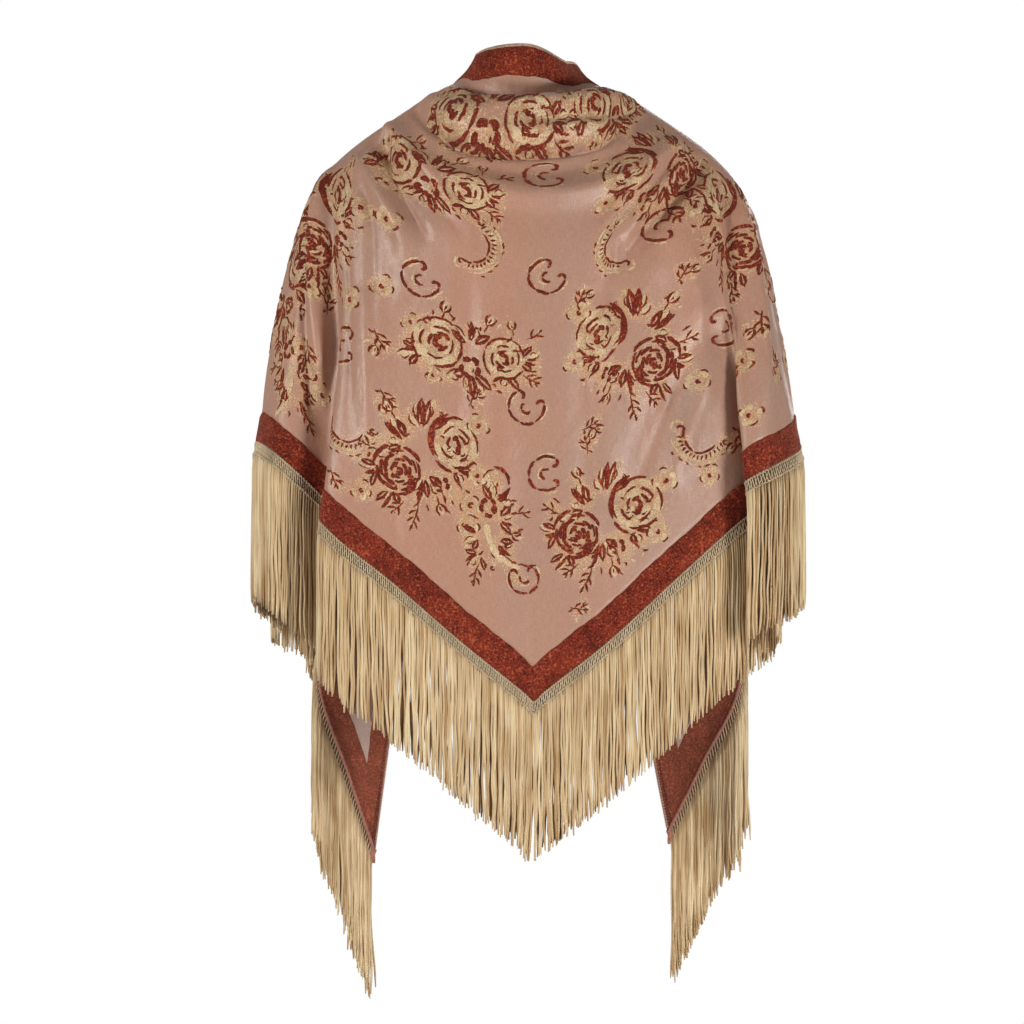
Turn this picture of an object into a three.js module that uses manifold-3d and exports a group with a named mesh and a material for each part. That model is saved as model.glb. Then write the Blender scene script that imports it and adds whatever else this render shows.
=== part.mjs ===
// A triangle shawl worn over the shoulders: the point hangs at the back and the two tails in front.
// A satin triangle has a velvet border along its three edges, and a fringe with a netted heading
// along the two short ones.
// Millimetres, +Z up. The back of the shawl faces -Y and the wearer's right side is +X.
// The origin is the middle of the line across the tops of the shoulders.

import * as THREE from "three";
import Module from "manifold-3d";
import { mergeVertices } from "three/addons/utils/BufferGeometryUtils.js";

// The flat cut. s runs along the long edge from its middle, t square to it towards the back point.
const HALF_LONG_EDGE = 950;
const POINT_DROP = 720;
const BORDER_WIDTH = 30;
const HALF_SEAM_GAP = 0.2;

// Walls and trim.
const SATIN_WALL = 1.6;
const VELVET_WALL = 2.2;
const FRINGE_LENGTH = 158;
const HEADING_DEPTH = 14;
const HEADING_WALL = 2.4;
const STRAND_THICKNESS = 2.2;
const STRAND_SPREAD = 2.2;
const STRAND_ROOT = 8;
const STRAND_ROOT_SHARE = 0.7;

// Behind the neck the cloth falls in straight lines. Further than FALL_HALF from the middle they fan out
// about a point FALL_FOCUS above the long edge. A fall line is known by its place: its distance from
// the middle along the curve that crosses them all square, FALL_FOCUS from those two points.
const FALL_HALF = 90;
const FALL_FOCUS = 60;
// A fall line leaves the neck this far round it for each millimetre of its place.
const NECK_DEGREES_PER_MM = 0.82;

const degrees = THREE.MathUtils.degToRad;
const SHORT_EDGE = Math.hypot(HALF_LONG_EDGE, POINT_DROP);
const TIP_PLACE = FALL_HALF + FALL_FOCUS * Math.atan2(HALF_LONG_EDGE - FALL_HALF, FALL_FOCUS);

// Ellipses that the cloth lies over, from the top of the collar to the edge of the shoulders.
// turn says how far a fall line has gone from its place round the neck to its place round the shoulders.
const RINGS = [
  { halfWidth: 45, back: 58, front: 52, zBack: 94, zSide: 88, zFront: 34, turn: 0 },
  { halfWidth: 66, back: 62, front: 60, zBack: 60, zSide: 62, zFront: 12, turn: 0.25 },
  { halfWidth: 112, back: 78, front: 72, zBack: 24, zSide: 35, zFront: -14, turn: 0.5 },
  { halfWidth: 194, back: 99, front: 92, zBack: -40, zSide: -26, zFront: -55, turn: 0.8 },
  { halfWidth: 230, back: 117, front: 104, zBack: -125, zSide: -86, zFront: -118, turn: 1 },
];

// The fringed edge as it hangs, a row for each fold. along is measured on the edge from the back
// point, left side negative; shoulderDeg is where the fall line crosses the last ring, 0 at the
// back; sway is how far the middle of the fall line swings towards the centre.
const HEM = [
  { along: -1194, shoulderDeg: -168, x: -157, y: 130, z: -725, sway: 0 },
  { along: -1100, shoulderDeg: -164, x: -184, y: 117, z: -643, sway: 0 },
  { along: -996, shoulderDeg: -159, x: -212, y: 100, z: -550, sway: 0 },
  { along: -860, shoulderDeg: -150, x: -206, y: 150, z: -416, sway: 0 },
  { along: -790, shoulderDeg: -142, x: -222, y: 152, z: -384, sway: 0 },
  { along: -735, shoulderDeg: -134, x: -222, y: 112, z: -368, sway: 0 },
  { along: -680, shoulderDeg: -125, x: -258, y: 124, z: -352, sway: 0 },
  { along: -625, shoulderDeg: -114, x: -250, y: 80, z: -336, sway: 0 },
  { along: -565, shoulderDeg: -99, x: -269, y: 32, z: -317, sway: 0 },
  { along: -505, shoulderDeg: -84, x: -269, y: -26, z: -302, sway: 0 },
  { along: -435, shoulderDeg: -67, x: -251, y: -75, z: -311, sway: 0 },
  { along: -395, shoulderDeg: -60, x: -226, y: -76, z: -333, sway: 0 },
  { along: -366, shoulderDeg: -56, x: -204, y: -62, z: -355, sway: 0 },
  { along: -350, shoulderDeg: -54, x: -193, y: -64, z: -363, sway: 0 },
  { along: -328, shoulderDeg: -51, x: -190, y: -82, z: -372, sway: 0 },
  { along: -307, shoulderDeg: -48, x: -202, y: -96, z: -378, sway: 0 },
  { along: -291, shoulderDeg: -45, x: -200, y: -109, z: -383, sway: 0 },
  { along: -262, shoulderDeg: -40, x: -180, y: -114, z: -402, sway: 0 },
  { along: -200, shoulderDeg: -31, x: -132, y: -113, z: -440, sway: 0 },
  { along: -100, shoulderDeg: -19, x: -62, y: -122, z: -500, sway: 0 },
  { along: 0, shoulderDeg: 0, x: 6, y: -118, z: -557, sway: 0 },
  { along: 100, shoulderDeg: 19, x: 76, y: -121, z: -498, sway: 0 },
  { along: 200, shoulderDeg: 31, x: 147, y: -110, z: -433, sway: 0 },
  { along: 285, shoulderDeg: 44, x: 207, y: -92, z: -380, sway: 0 },
  { along: 313, shoulderDeg: 49, x: 232, y: -80, z: -363, sway: 0 },
  { along: 327, shoulderDeg: 51, x: 233, y: -92, z: -357, sway: 0 },
  { along: 347, shoulderDeg: 54, x: 214, y: -104, z: -346, sway: 0 },
  { along: 361, shoulderDeg: 56, x: 213, y: -116, z: -340, sway: 0 },
  { along: 390, shoulderDeg: 60, x: 239, y: -108, z: -326, sway: 0 },
  { along: 432, shoulderDeg: 67, x: 264, y: -74, z: -312, sway: 0 },
  { along: 492, shoulderDeg: 81, x: 268, y: -20, z: -304, sway: 0 },
  { along: 556, shoulderDeg: 97, x: 267, y: 36, z: -320, sway: 0 },
  { along: 617, shoulderDeg: 113, x: 248, y: 82, z: -337, sway: 0 },
  { along: 673, shoulderDeg: 124, x: 256, y: 125, z: -352, sway: 0 },
  { along: 730, shoulderDeg: 134, x: 221, y: 113, z: -368, sway: 0 },
  { along: 788, shoulderDeg: 142, x: 223, y: 153, z: -384, sway: 0 },
  { along: 860, shoulderDeg: 150, x: 210, y: 150, z: -412, sway: 0 },
  { along: 996, shoulderDeg: 159, x: 216, y: 100, z: -548, sway: 10 },
  { along: 1100, shoulderDeg: 164, x: 180, y: 117, z: -630, sway: 16 },
  { along: 1194, shoulderDeg: 168, x: 144, y: 130, z: -705, sway: 20 },
];

// The folds that the collar makes behind the neck. drop is measured down the cloth at the middle.
const COLLAR_FOLDS = [
  { drop: -20, out: 0, down: 0 },
  { drop: 34, out: 0, down: 0 },
  { drop: 56, out: -5, down: 2 },
  { drop: 78, out: 8, down: 0 },
  { drop: 102, out: 15, down: 6 },
  { drop: 119, out: 11, down: 12 },
  { drop: 131, out: -1, down: 6 },
  { drop: 148, out: -4, down: 0 },
  { drop: 168, out: 0, down: 0 },
  { drop: 2000, out: 0, down: 0 },
];
const COLLAR_FULL_PLACE = 55;
const COLLAR_END_PLACE = 118;
const COLLAR_RISE = 26;

// Soft folds between two places of the flat cloth, out of it where height is above 0 and into it below.
// bow is how far the middle swings to the left of the way from the first place to the second.
const CREASES = [
  { fromS: -95, fromT: 140, toS: 142, toT: 146, bow: 38, width: 15, height: 8 },
  { fromS: 157, fromT: 140, toS: 69, toT: 250, bow: 22, width: 10, height: 6 },
  { fromS: 192, fromT: 162, toS: 89, toT: 340, bow: 26, width: 15, height: -7 },
  { fromS: -183, fromT: 158, toS: -129, toT: 280, bow: -23, width: 10, height: 5 },
  { fromS: -166, fromT: 118, toS: -60, toT: 212, bow: -17, width: 10, height: 6 },
  { fromS: -180, fromT: 136, toS: -98, toT: 226, bow: -19, width: 8, height: -4 },
  { fromS: -226, fromT: 170, toS: -268, toT: 400, bow: 7, width: 16, height: 8 },
  { fromS: -200, fromT: 190, toS: -232, toT: 420, bow: 4, width: 13, height: -5 },
  { fromS: 226, fromT: 185, toS: 296, toT: 470, bow: 0, width: 14, height: 7 },
  { fromS: 189, fromT: 225, toS: 220, toT: 470, bow: -24, width: 12, height: -6 },
  { fromS: 196, fromT: 340, toS: 100, toT: 530, bow: 0, width: 22, height: -8 },
  { fromS: 194, fromT: 360, toS: 146, toT: 510, bow: 0, width: 16, height: 6 },
  { fromS: -160, fromT: 300, toS: -177, toT: 500, bow: 0, width: 15, height: 5 },
  { fromS: 330, fromT: 60, toS: 640, toT: 96, bow: 10, width: 16, height: -6 },
  { fromS: 300, fromT: 110, toS: 560, toT: 150, bow: 14, width: 14, height: 5 },
  { fromS: -320, fromT: 56, toS: -600, toT: 90, bow: -12, width: 16, height: -6 },
  { fromS: -310, fromT: 120, toS: -540, toT: 160, bow: -12, width: 14, height: 5 },
];

// Meshes have a column at each row of the hem table, and more between rows further apart than this.
const COLUMN_GAP = 30;
const PANEL_ROWS = 20;
const ROW_POWER = 1.35;
const MITRE_COLUMNS = [12, 45];
const TIP_MARGIN = 0.1;
const SAME_PLACE = 0.02;
const LEAST_COLUMN = 3;
const WELD = 0.001;

// Stretches of the fringe on one side, with the distance between strands and the width of each.
const FRINGE_STRETCHES = [
  { name: "back", from: 0, to: 305, pitch: 8.1, width: 3.6 },
  { name: "arm", from: 305, to: 620, pitch: 8.6, width: 3.6 },
  { name: "tail", from: 620, to: 1186, pitch: 12.6, width: 2.4 },
];

const SATIN = new THREE.MeshStandardMaterial({ color: 0xbe917d, roughness: 0.42, metalness: 0 });
const VELVET = new THREE.MeshStandardMaterial({ color: 0x872d19, roughness: 0.85, metalness: 0 });
const FRINGE = new THREE.MeshStandardMaterial({ color: 0xdcc8a5, roughness: 0.5, metalness: 0 });

// A smooth curve through the rows of a table: cubic pieces whose slope at a row is that of its neighbours.
function curveThrough(rows, key, columns) {
  const at = rows.map((row) => row[key]);
  const last = rows.length - 1;
  const slopes = rows.map((row, i) => {
    const before = rows[Math.max(i - 1, 0)];
    const after = rows[Math.min(i + 1, last)];
    return columns.map((name) => (after[name] - before[name]) / (after[key] - before[key]));
  });
  return (value) => {
    let i = 0;
    while (i < last - 1 && value > at[i + 1]) i += 1;
    const span = at[i + 1] - at[i];
    const u = THREE.MathUtils.clamp((value - at[i]) / span, 0, 1);
    const startWeight = (1 + 2 * u) * (1 - u) ** 2;
    const endWeight = u * u * (3 - 2 * u);
    const startSlope = u * (1 - u) ** 2 * span;
    const endSlope = u * u * (u - 1) * span;
    return columns.map(
      (name, c) =>
        startWeight * rows[i][name] +
        endWeight * rows[i + 1][name] +
        startSlope * slopes[i][c] +
        endSlope * slopes[i + 1][c],
    );
  };
}

const hemAt = curveThrough(HEM, "along", ["x", "y", "z", "shoulderDeg", "sway"]);
const collarAt = curveThrough(COLLAR_FOLDS, "drop", ["out", "down"]);

// The angle at the focus of a fall line, 0 for the straight ones.
function fanAngle(place) {
  return Math.max(Math.abs(place) - FALL_HALF, 0) / FALL_FOCUS;
}

// The flat place [s, t] that lies drop millimetres down the fall line.
function flatPlace(place, drop) {
  const fan = fanAngle(place);
  const s = Math.min(Math.abs(place), FALL_HALF) + (FALL_FOCUS + drop) * Math.sin(fan);
  return [Math.sign(place) * s, (FALL_FOCUS + drop) * Math.cos(fan) - FALL_FOCUS];
}

// The fall line through a flat place, and how far down it lies.
function fallPlace(s, t) {
  const aside = Math.abs(s) - FALL_HALF;
  if (aside <= 0) return { place: s, drop: t };
  const place = FALL_HALF + FALL_FOCUS * Math.atan2(aside, t + FALL_FOCUS);
  return { place: Math.sign(s) * place, drop: Math.hypot(aside, t + FALL_FOCUS) - FALL_FOCUS };
}

// How far down a fall line meets the long edge, or a line this far inside it.
function longEdgeDrop(place, inside = 0) {
  return (FALL_FOCUS + inside) / Math.cos(fanAngle(place)) - FALL_FOCUS;
}

// How far down a fall line meets the fringed edge, or a line this far inside it.
function hemDrop(place, inside = 0) {
  const fan = fanAngle(place);
  const start = Math.min(Math.abs(place), FALL_HALF);
  const level = 1 + FALL_FOCUS / POINT_DROP - start / HALF_LONG_EDGE;
  const inset = (inside * SHORT_EDGE) / (HALF_LONG_EDGE * POINT_DROP);
  return (level - inset) / (Math.sin(fan) / HALF_LONG_EDGE + Math.cos(fan) / POINT_DROP) - FALL_FOCUS;
}

// Where a fall line meets the fringed edge, as a distance from the back point, and the other way round.
function alongOf(place) {
  return (flatPlace(place, hemDrop(place))[0] * SHORT_EDGE) / HALF_LONG_EDGE;
}

function placeOf(along) {
  const share = along / SHORT_EDGE;
  return fallPlace(share * HALF_LONG_EDGE, POINT_DROP * (1 - Math.abs(share))).place;
}

function ringPoint(ring, azimuth) {
  const forward = Math.cos(azimuth) < 0;
  const depth = forward ? ring.front : ring.back;
  const zMiddle = forward ? ring.zFront : ring.zBack;
  return new THREE.Vector3(
    ring.halfWidth * Math.sin(azimuth),
    -depth * Math.cos(azimuth),
    ring.zSide + (zMiddle - ring.zSide) * Math.cos(azimuth) ** 2,
  );
}

// The point on a fall line, drop millimetres of cloth below the neck. The line goes through the rings
// and the hem as a smooth curve in its own length, and runs on straight past its ends.
function fallPoint({ place, drop }) {
  const [x, y, z, shoulderDeg, sway] = hemAt(alongOf(place));
  const neck = degrees(place * NECK_DEGREES_PER_MM);
  const knots = RINGS.map((ring) =>
    ringPoint(ring, THREE.MathUtils.lerp(neck, degrees(shoulderDeg), ring.turn)),
  );
  knots.push(new THREE.Vector3(x, y, z));
  const lengths = [0];
  for (let k = 1; k < knots.length; k += 1) {
    lengths.push(lengths[k - 1] + knots[k].distanceTo(knots[k - 1]));
  }
  const total = lengths[knots.length - 1];
  const reach = hemDrop(place);
  const wanted = (drop / reach) * total;
  const length = THREE.MathUtils.clamp(wanted, 0, total);
  let k = 0;
  while (k < knots.length - 2 && length > lengths[k + 1]) k += 1;
  const tangent = (i) => {
    const a = Math.max(i - 1, 0);
    const b = Math.min(i + 1, knots.length - 1);
    return knots[b].clone().sub(knots[a]).divideScalar(lengths[b] - lengths[a]);
  };
  const span = lengths[k + 1] - lengths[k];
  const u = (length - lengths[k]) / span;
  const point = knots[k].clone().multiplyScalar((1 + 2 * u) * (1 - u) ** 2);
  point.addScaledVector(knots[k + 1], u * u * (3 - 2 * u));
  point.addScaledVector(tangent(k), u * (1 - u) ** 2 * span);
  point.addScaledVector(tangent(k + 1), u * u * (u - 1) * span);
  const hang = THREE.MathUtils.clamp(drop / reach, 0, 1);
  point.x -= Math.sign(place) * sway * 4 * hang * (1 - hang);
  if (wanted > total) point.addScaledVector(tangent(knots.length - 1), drop - reach);
  if (wanted < 0) point.addScaledVector(tangent(0), wanted);
  return point;
}

// The normal of a surface that is a function of the flat place, by small steps; it points outwards.
const FLAT_STEP = 0.5;
function normalOf(surface, s, t) {
  const across = surface(s + FLAT_STEP, t).sub(surface(s - FLAT_STEP, t));
  const downward = surface(s, t + FLAT_STEP).sub(surface(s, t - FLAT_STEP));
  return downward.cross(across).normalize();
}

// The cloth without its folds of collar and creases.
function basePoint(s, t) {
  return fallPoint(fallPlace(s, t));
}

// How far out the creases lift the cloth at a flat place: a bell across each crease, level along it
// and fading to nothing at its ends.
function creaseHeight(s, t) {
  return CREASES.reduce((sum, { fromS, fromT, toS, toT, bow, width, height }) => {
    const [runS, runT] = [toS - fromS, toT - fromT];
    const length = Math.hypot(runS, runT);
    const share = ((s - fromS) * runS + (t - fromT) * runT) / length ** 2;
    if (share <= 0 || share >= 1) return sum;
    const left = ((t - fromT) * runS - (s - fromS) * runT) / length;
    const aside = (left - bow * 4 * share * (1 - share)) / width;
    return sum + height * Math.exp(-(aside ** 2)) * (1 - (2 * share - 1) ** 4);
  }, 0);
}

// The middle of the cloth at a flat place, with the folds of the collar and the creases.
function clothPoint(s, t) {
  const point = basePoint(s, t);
  const { place, drop } = fallPlace(s, t);
  const fade = 1 - THREE.MathUtils.smoothstep(Math.abs(place), COLLAR_FULL_PLACE, COLLAR_END_PLACE);
  const rise = COLLAR_RISE * (place / COLLAR_END_PLACE) ** 2;
  const [out, down] = collarAt(drop + rise);
  const lift = out * fade + creaseHeight(s, t);
  if (lift !== 0) point.addScaledVector(normalOf(basePoint, s, t), lift);
  point.z -= down * fade;
  return point;
}

// A geometry from triangles of vertices, with equal vertices joined and empty triangles dropped.
function closedGeometry(vertices, triangles) {
  const positions = new Float32Array(triangles.flat().flatMap((v) => vertices[v].toArray()));
  const loose = new THREE.BufferGeometry();
  loose.setAttribute("position", new THREE.BufferAttribute(positions, 3));
  const merged = mergeVertices(loose, WELD);
  const kept = [];
  const index = merged.index.array;
  for (let i = 0; i < index.length; i += 3) {
    const [a, b, c] = [index[i], index[i + 1], index[i + 2]];
    if (a !== b && b !== c && c !== a) kept.push(a, b, c);
  }
  merged.setIndex(kept);
  merged.computeVertexNormals();
  return merged;
}

// A wall of cloth over a grid of flat places: columns of [s, t] pairs that run down the cloth,
// from the left column to the right one. Its edges are closed all round.
function clothWall(columns, thickness) {
  const rows = columns[0].length;
  const outer = [];
  const inner = [];
  for (const [s, t] of columns.flat()) {
    const point = clothPoint(s, t);
    const normal = normalOf(clothPoint, s, t);
    outer.push(point.clone().addScaledVector(normal, thickness / 2));
    inner.push(point.clone().addScaledVector(normal, -thickness / 2));
  }
  const insideStart = outer.length;
  const vertices = [...outer, ...inner];
  const triangles = [];
  const quad = (a, b, c, d) => triangles.push([a, b, c], [a, c, d]);
  const at = (i, j) => i * rows + j;
  for (let i = 0; i < columns.length - 1; i += 1) {
    for (let j = 0; j < rows - 1; j += 1) {
      const [a, b, c, d] = [at(i, j), at(i, j + 1), at(i + 1, j + 1), at(i + 1, j)];
      quad(a, b, c, d);
      quad(d + insideStart, c + insideStart, b + insideStart, a + insideStart);
    }
    const [top, topNext] = [at(i, 0), at(i + 1, 0)];
    const [foot, footNext] = [at(i, rows - 1), at(i + 1, rows - 1)];
    quad(top, topNext, topNext + insideStart, top + insideStart);
    quad(foot, foot + insideStart, footNext + insideStart, footNext);
  }
  for (let j = 0; j < rows - 1; j += 1) {
    const [a, b] = [at(0, j), at(0, j + 1)];
    quad(a, a + insideStart, b + insideStart, b);
    const [c, d] = [at(columns.length - 1, j), at(columns.length - 1, j + 1)];
    quad(d, d + insideStart, c + insideStart, c);
  }
  return closedGeometry(vertices, triangles);
}

// The columns of the meshes, as distances along the fringed edge from the left tip to the right one.
const COLUMNS = HEM.slice(1).reduce(
  (places, { along }) => {
    const start = places[places.length - 1];
    const count = Math.ceil((along - start) / COLUMN_GAP);
    for (let k = 1; k <= count; k += 1) places.push(start + ((along - start) * k) / count);
    return places;
  },
  [HEM[0].along],
);

// The corner at a tip of a triangle this far inside the cut.
function innerTip(inset) {
  const s = HALF_LONG_EDGE - (inset * (HALF_LONG_EDGE + SHORT_EDGE)) / POINT_DROP;
  return { s, place: fallPlace(s, inset).place };
}

const { s: INNER_TIP_S, place: INNER_TIP_PLACE } = innerTip(BORDER_WIDTH);

// How far down a fall line meets the mitre, the line from the border's inner corner to the tip.
function mitreDrop(place) {
  const fan = fanAngle(place);
  const run = HALF_LONG_EDGE - INNER_TIP_S;
  const level = FALL_FOCUS * run + BORDER_WIDTH * (HALF_LONG_EDGE - FALL_HALF);
  return level / (run * Math.cos(fan) + BORDER_WIDTH * Math.sin(fan)) - FALL_FOCUS;
}

// Places of the columns between two limits, with the limits themselves at the ends.
function placesBetween(from, to) {
  const inside = COLUMNS.map(placeOf).filter((a) => a > from + SAME_PLACE && a < to - SAME_PLACE);
  return [from, ...inside, to];
}

function satinPanel() {
  const inset = BORDER_WIDTH + HALF_SEAM_GAP;
  const tip = innerTip(inset).place;
  const columns = placesBetween(-tip, tip).map((place) => {
    const top = longEdgeDrop(place, inset);
    const foot = Math.max(hemDrop(place, inset), top);
    return Array.from({ length: PANEL_ROWS + 1 }, (_, j) =>
      flatPlace(place, top + (foot - top) * (j / PANEL_ROWS) ** ROW_POWER),
    );
  });
  return clothWall(columns, SATIN_WALL);
}

function neckBorder() {
  const inner = placesBetween(-INNER_TIP_PLACE, INNER_TIP_PLACE).map(
    (place) => flatPlace(place, longEdgeDrop(place, BORDER_WIDTH))[0],
  );
  const ends = MITRE_COLUMNS.map((fromTip) => HALF_LONG_EDGE - fromTip);
  const places = [...ends.map((s) => -s), ...inner, ...ends.reverse()];
  const columns = places.map((s) => {
    const mitre = (BORDER_WIDTH * (HALF_LONG_EDGE - Math.abs(s))) / (HALF_LONG_EDGE - INNER_TIP_S);
    return [0, Math.min(BORDER_WIDTH, mitre) - HALF_SEAM_GAP].map((t) => [s, t]);
  });
  return clothWall(columns, VELVET_WALL);
}

function sideBorder(side) {
  const [from, middle, to] = [0, INNER_TIP_PLACE, TIP_PLACE - TIP_MARGIN].map((place) => side * place);
  const places =
    side > 0
      ? [...placesBetween(from, middle), ...placesBetween(middle, to).slice(1)]
      : [...placesBetween(to, middle), ...placesBetween(middle, from).slice(1)];
  const columns = places.map((place) => {
    const start = Math.max(
      hemDrop(place, BORDER_WIDTH - HALF_SEAM_GAP),
      mitreDrop(place) + 2 * HALF_SEAM_GAP,
    );
    return [start, hemDrop(place)].map((drop) => {
      const [s, t] = flatPlace(place, drop);
      return [side * Math.max(side * s, HALF_SEAM_GAP), t];
    });
  });
  return clothWall(columns, VELVET_WALL);
}

const wasm = await Module();
wasm.setup();

function solidOf(geometry) {
  const bare = new THREE.BufferGeometry();
  bare.setAttribute("position", geometry.getAttribute("position"));
  if (geometry.index) bare.setIndex(geometry.index);
  const merged = mergeVertices(bare, WELD);
  return new wasm.Manifold(
    new wasm.Mesh({
      numProp: 3,
      vertProperties: merged.attributes.position.array,
      triVerts: new Uint32Array(merged.index.array),
    }),
  );
}

function geometryOf(solid) {
  const mesh = solid.getMesh();
  const geometry = new THREE.BufferGeometry();
  geometry.setAttribute("position", new THREE.BufferAttribute(mesh.vertProperties, 3));
  geometry.setIndex(new THREE.BufferAttribute(mesh.triVerts, 1));
  geometry.computeVertexNormals();
  return geometry;
}

// One strand: a four-sided lock from a root in the heading, hanging straight down and a little out.
function strand(root, out, width, spread) {
  const side = new THREE.Vector3(-out.y, out.x, 0);
  const hang = FRINGE_LENGTH - STRAND_ROOT;
  const ends = [
    { centre: root, size: STRAND_ROOT_SHARE },
    { centre: root.clone().addScaledVector(out, spread).setZ(root.z - hang), size: 1 },
  ];
  const vertices = ends.flatMap(({ centre, size }) =>
    [0, 1, 2, 3].map((corner) => {
      const turn = (corner * Math.PI) / 2;
      return centre
        .clone()
        .addScaledVector(side, (size * width * Math.cos(turn)) / 2)
        .addScaledVector(out, (size * STRAND_THICKNESS * Math.sin(turn)) / 2);
    }),
  );
  const triangles = [
    [0, 2, 1],
    [0, 3, 2],
    [4, 5, 6],
    [4, 6, 7],
  ];
  for (let corner = 0; corner < 4; corner += 1) {
    const next = (corner + 1) % 4;
    triangles.push([corner, next + 4, corner + 4], [corner, next, next + 4]);
  }
  return closedGeometry(vertices, triangles);
}

// A stretch of fringe: the heading strip just off the cloth's edge, with its strands fused in.
function fringeStretch({ from: nearPoint, to: nearTip, pitch, width }, side) {
  const column = (place) =>
    COLUMNS.reduce((best, along) => (Math.abs(along - place) < Math.abs(best - place) ? along : best));
  const [first, second] = side > 0 ? [nearPoint, nearTip] : [-nearTip, -nearPoint];
  const from = column(first) + HALF_SEAM_GAP;
  const to = column(second) - HALF_SEAM_GAP;
  const places = [from, ...COLUMNS.filter((a) => a > from + LEAST_COLUMN && a < to - LEAST_COLUMN), to];
  const flatAt = (along, off) => {
    const place = placeOf(along);
    return flatPlace(place, hemDrop(place, -2 * HALF_SEAM_GAP) + off);
  };
  const columns = places.map((along) => [flatAt(along, 0), flatAt(along, HEADING_DEPTH)]);

  // Roots lie on the straight runs between the strip's columns, so that they are inside its wall.
  const middles = places.map((along) => {
    const [s, t] = flatAt(along, STRAND_ROOT);
    return { point: clothPoint(s, t), out: normalOf(clothPoint, s, t).setZ(0).normalize() };
  });
  const count = Math.floor((to - from) / pitch);
  let fused = solidOf(clothWall(columns, HEADING_WALL));
  for (let k = 0; k < count; k += 1) {
    const along = from + ((k + 0.5) * (to - from)) / count;
    const next = places.findIndex((place) => place > along);
    const share = (along - places[next - 1]) / (places[next] - places[next - 1]);
    const root = middles[next - 1].point.clone().lerp(middles[next].point, share);
    const out = middles[next - 1].out.clone().lerp(middles[next].out, share).normalize();
    fused = fused.add(solidOf(strand(root, out, width, k % 2 ? STRAND_SPREAD : -STRAND_SPREAD)));
  }
  return geometryOf(fused);
}

const shawl = new THREE.Group();

function addPiece(name, geometry, material) {
  const mesh = new THREE.Mesh(geometry, material.clone());
  mesh.name = name;
  shawl.add(mesh);
}

addPiece("satin_panel", satinPanel(), SATIN);
addPiece("border_neck", neckBorder(), VELVET);
for (const { name, side } of [
  { name: "left", side: -1 },
  { name: "right", side: 1 },
]) {
  addPiece(`border_${name}`, sideBorder(side), VELVET);
  for (const stretch of FRINGE_STRETCHES) {
    addPiece(`fringe_${stretch.name}_${name}`, fringeStretch(stretch, side), FRINGE);
  }
}

export default shawl;
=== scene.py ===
import functools
import itertools
import math

import bpy
import numpy as np
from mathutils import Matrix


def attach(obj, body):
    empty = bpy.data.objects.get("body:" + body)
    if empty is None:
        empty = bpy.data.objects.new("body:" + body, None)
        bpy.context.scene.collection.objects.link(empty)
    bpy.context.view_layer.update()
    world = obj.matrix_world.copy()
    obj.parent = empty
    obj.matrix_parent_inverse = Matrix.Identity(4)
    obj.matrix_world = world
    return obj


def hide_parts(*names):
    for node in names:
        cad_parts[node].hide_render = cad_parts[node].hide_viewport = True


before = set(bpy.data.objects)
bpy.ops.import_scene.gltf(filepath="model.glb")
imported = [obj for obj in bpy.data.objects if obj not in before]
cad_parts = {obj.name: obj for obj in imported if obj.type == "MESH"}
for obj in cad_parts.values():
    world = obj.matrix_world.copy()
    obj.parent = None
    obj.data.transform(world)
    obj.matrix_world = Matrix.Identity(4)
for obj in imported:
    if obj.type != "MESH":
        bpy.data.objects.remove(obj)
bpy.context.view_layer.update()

bl_info = {
    "name": "Triangle shawl",
    "version": (1, 0, 0),
    "blender": (4, 5, 0),
    "location": "3D View > Sidebar > Shawl",
    "description": "Burnt-out velvet shawl with a velvet border and a long fringe, over the shoulders",
    "category": "Add Mesh",
}

# The cloth is worked out in millimetres and put into the meshes in metres.
MM = 0.001
HALF_LONG_EDGE = 950.0
POINT_DROP = 720.0
SHORT_EDGE = math.hypot(HALF_LONG_EDGE, POINT_DROP)
FALL_HALF = 90.0
FALL_FOCUS = 60.0
NECK_DEGREES_PER_MM = 0.82
COLLAR_FULL_PLACE = 55.0
COLLAR_END_PLACE = 118.0
COLLAR_RISE = 26.0
# How far to each side of a place the cloth's slopes are measured.
SLOPE_STEP = 0.5

# Ellipses that the cloth lies over:
# half width, depth behind, depth in front, z behind, z at the side, z in front, turn.
RINGS = np.array([
    (45, 58, 52, 94, 88, 34, 0.0),
    (66, 62, 60, 60, 62, 12, 0.25),
    (112, 78, 72, 24, 35, -14, 0.5),
    (194, 99, 92, -40, -26, -55, 0.8),
    (230, 117, 104, -125, -86, -118, 1.0),
])

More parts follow.
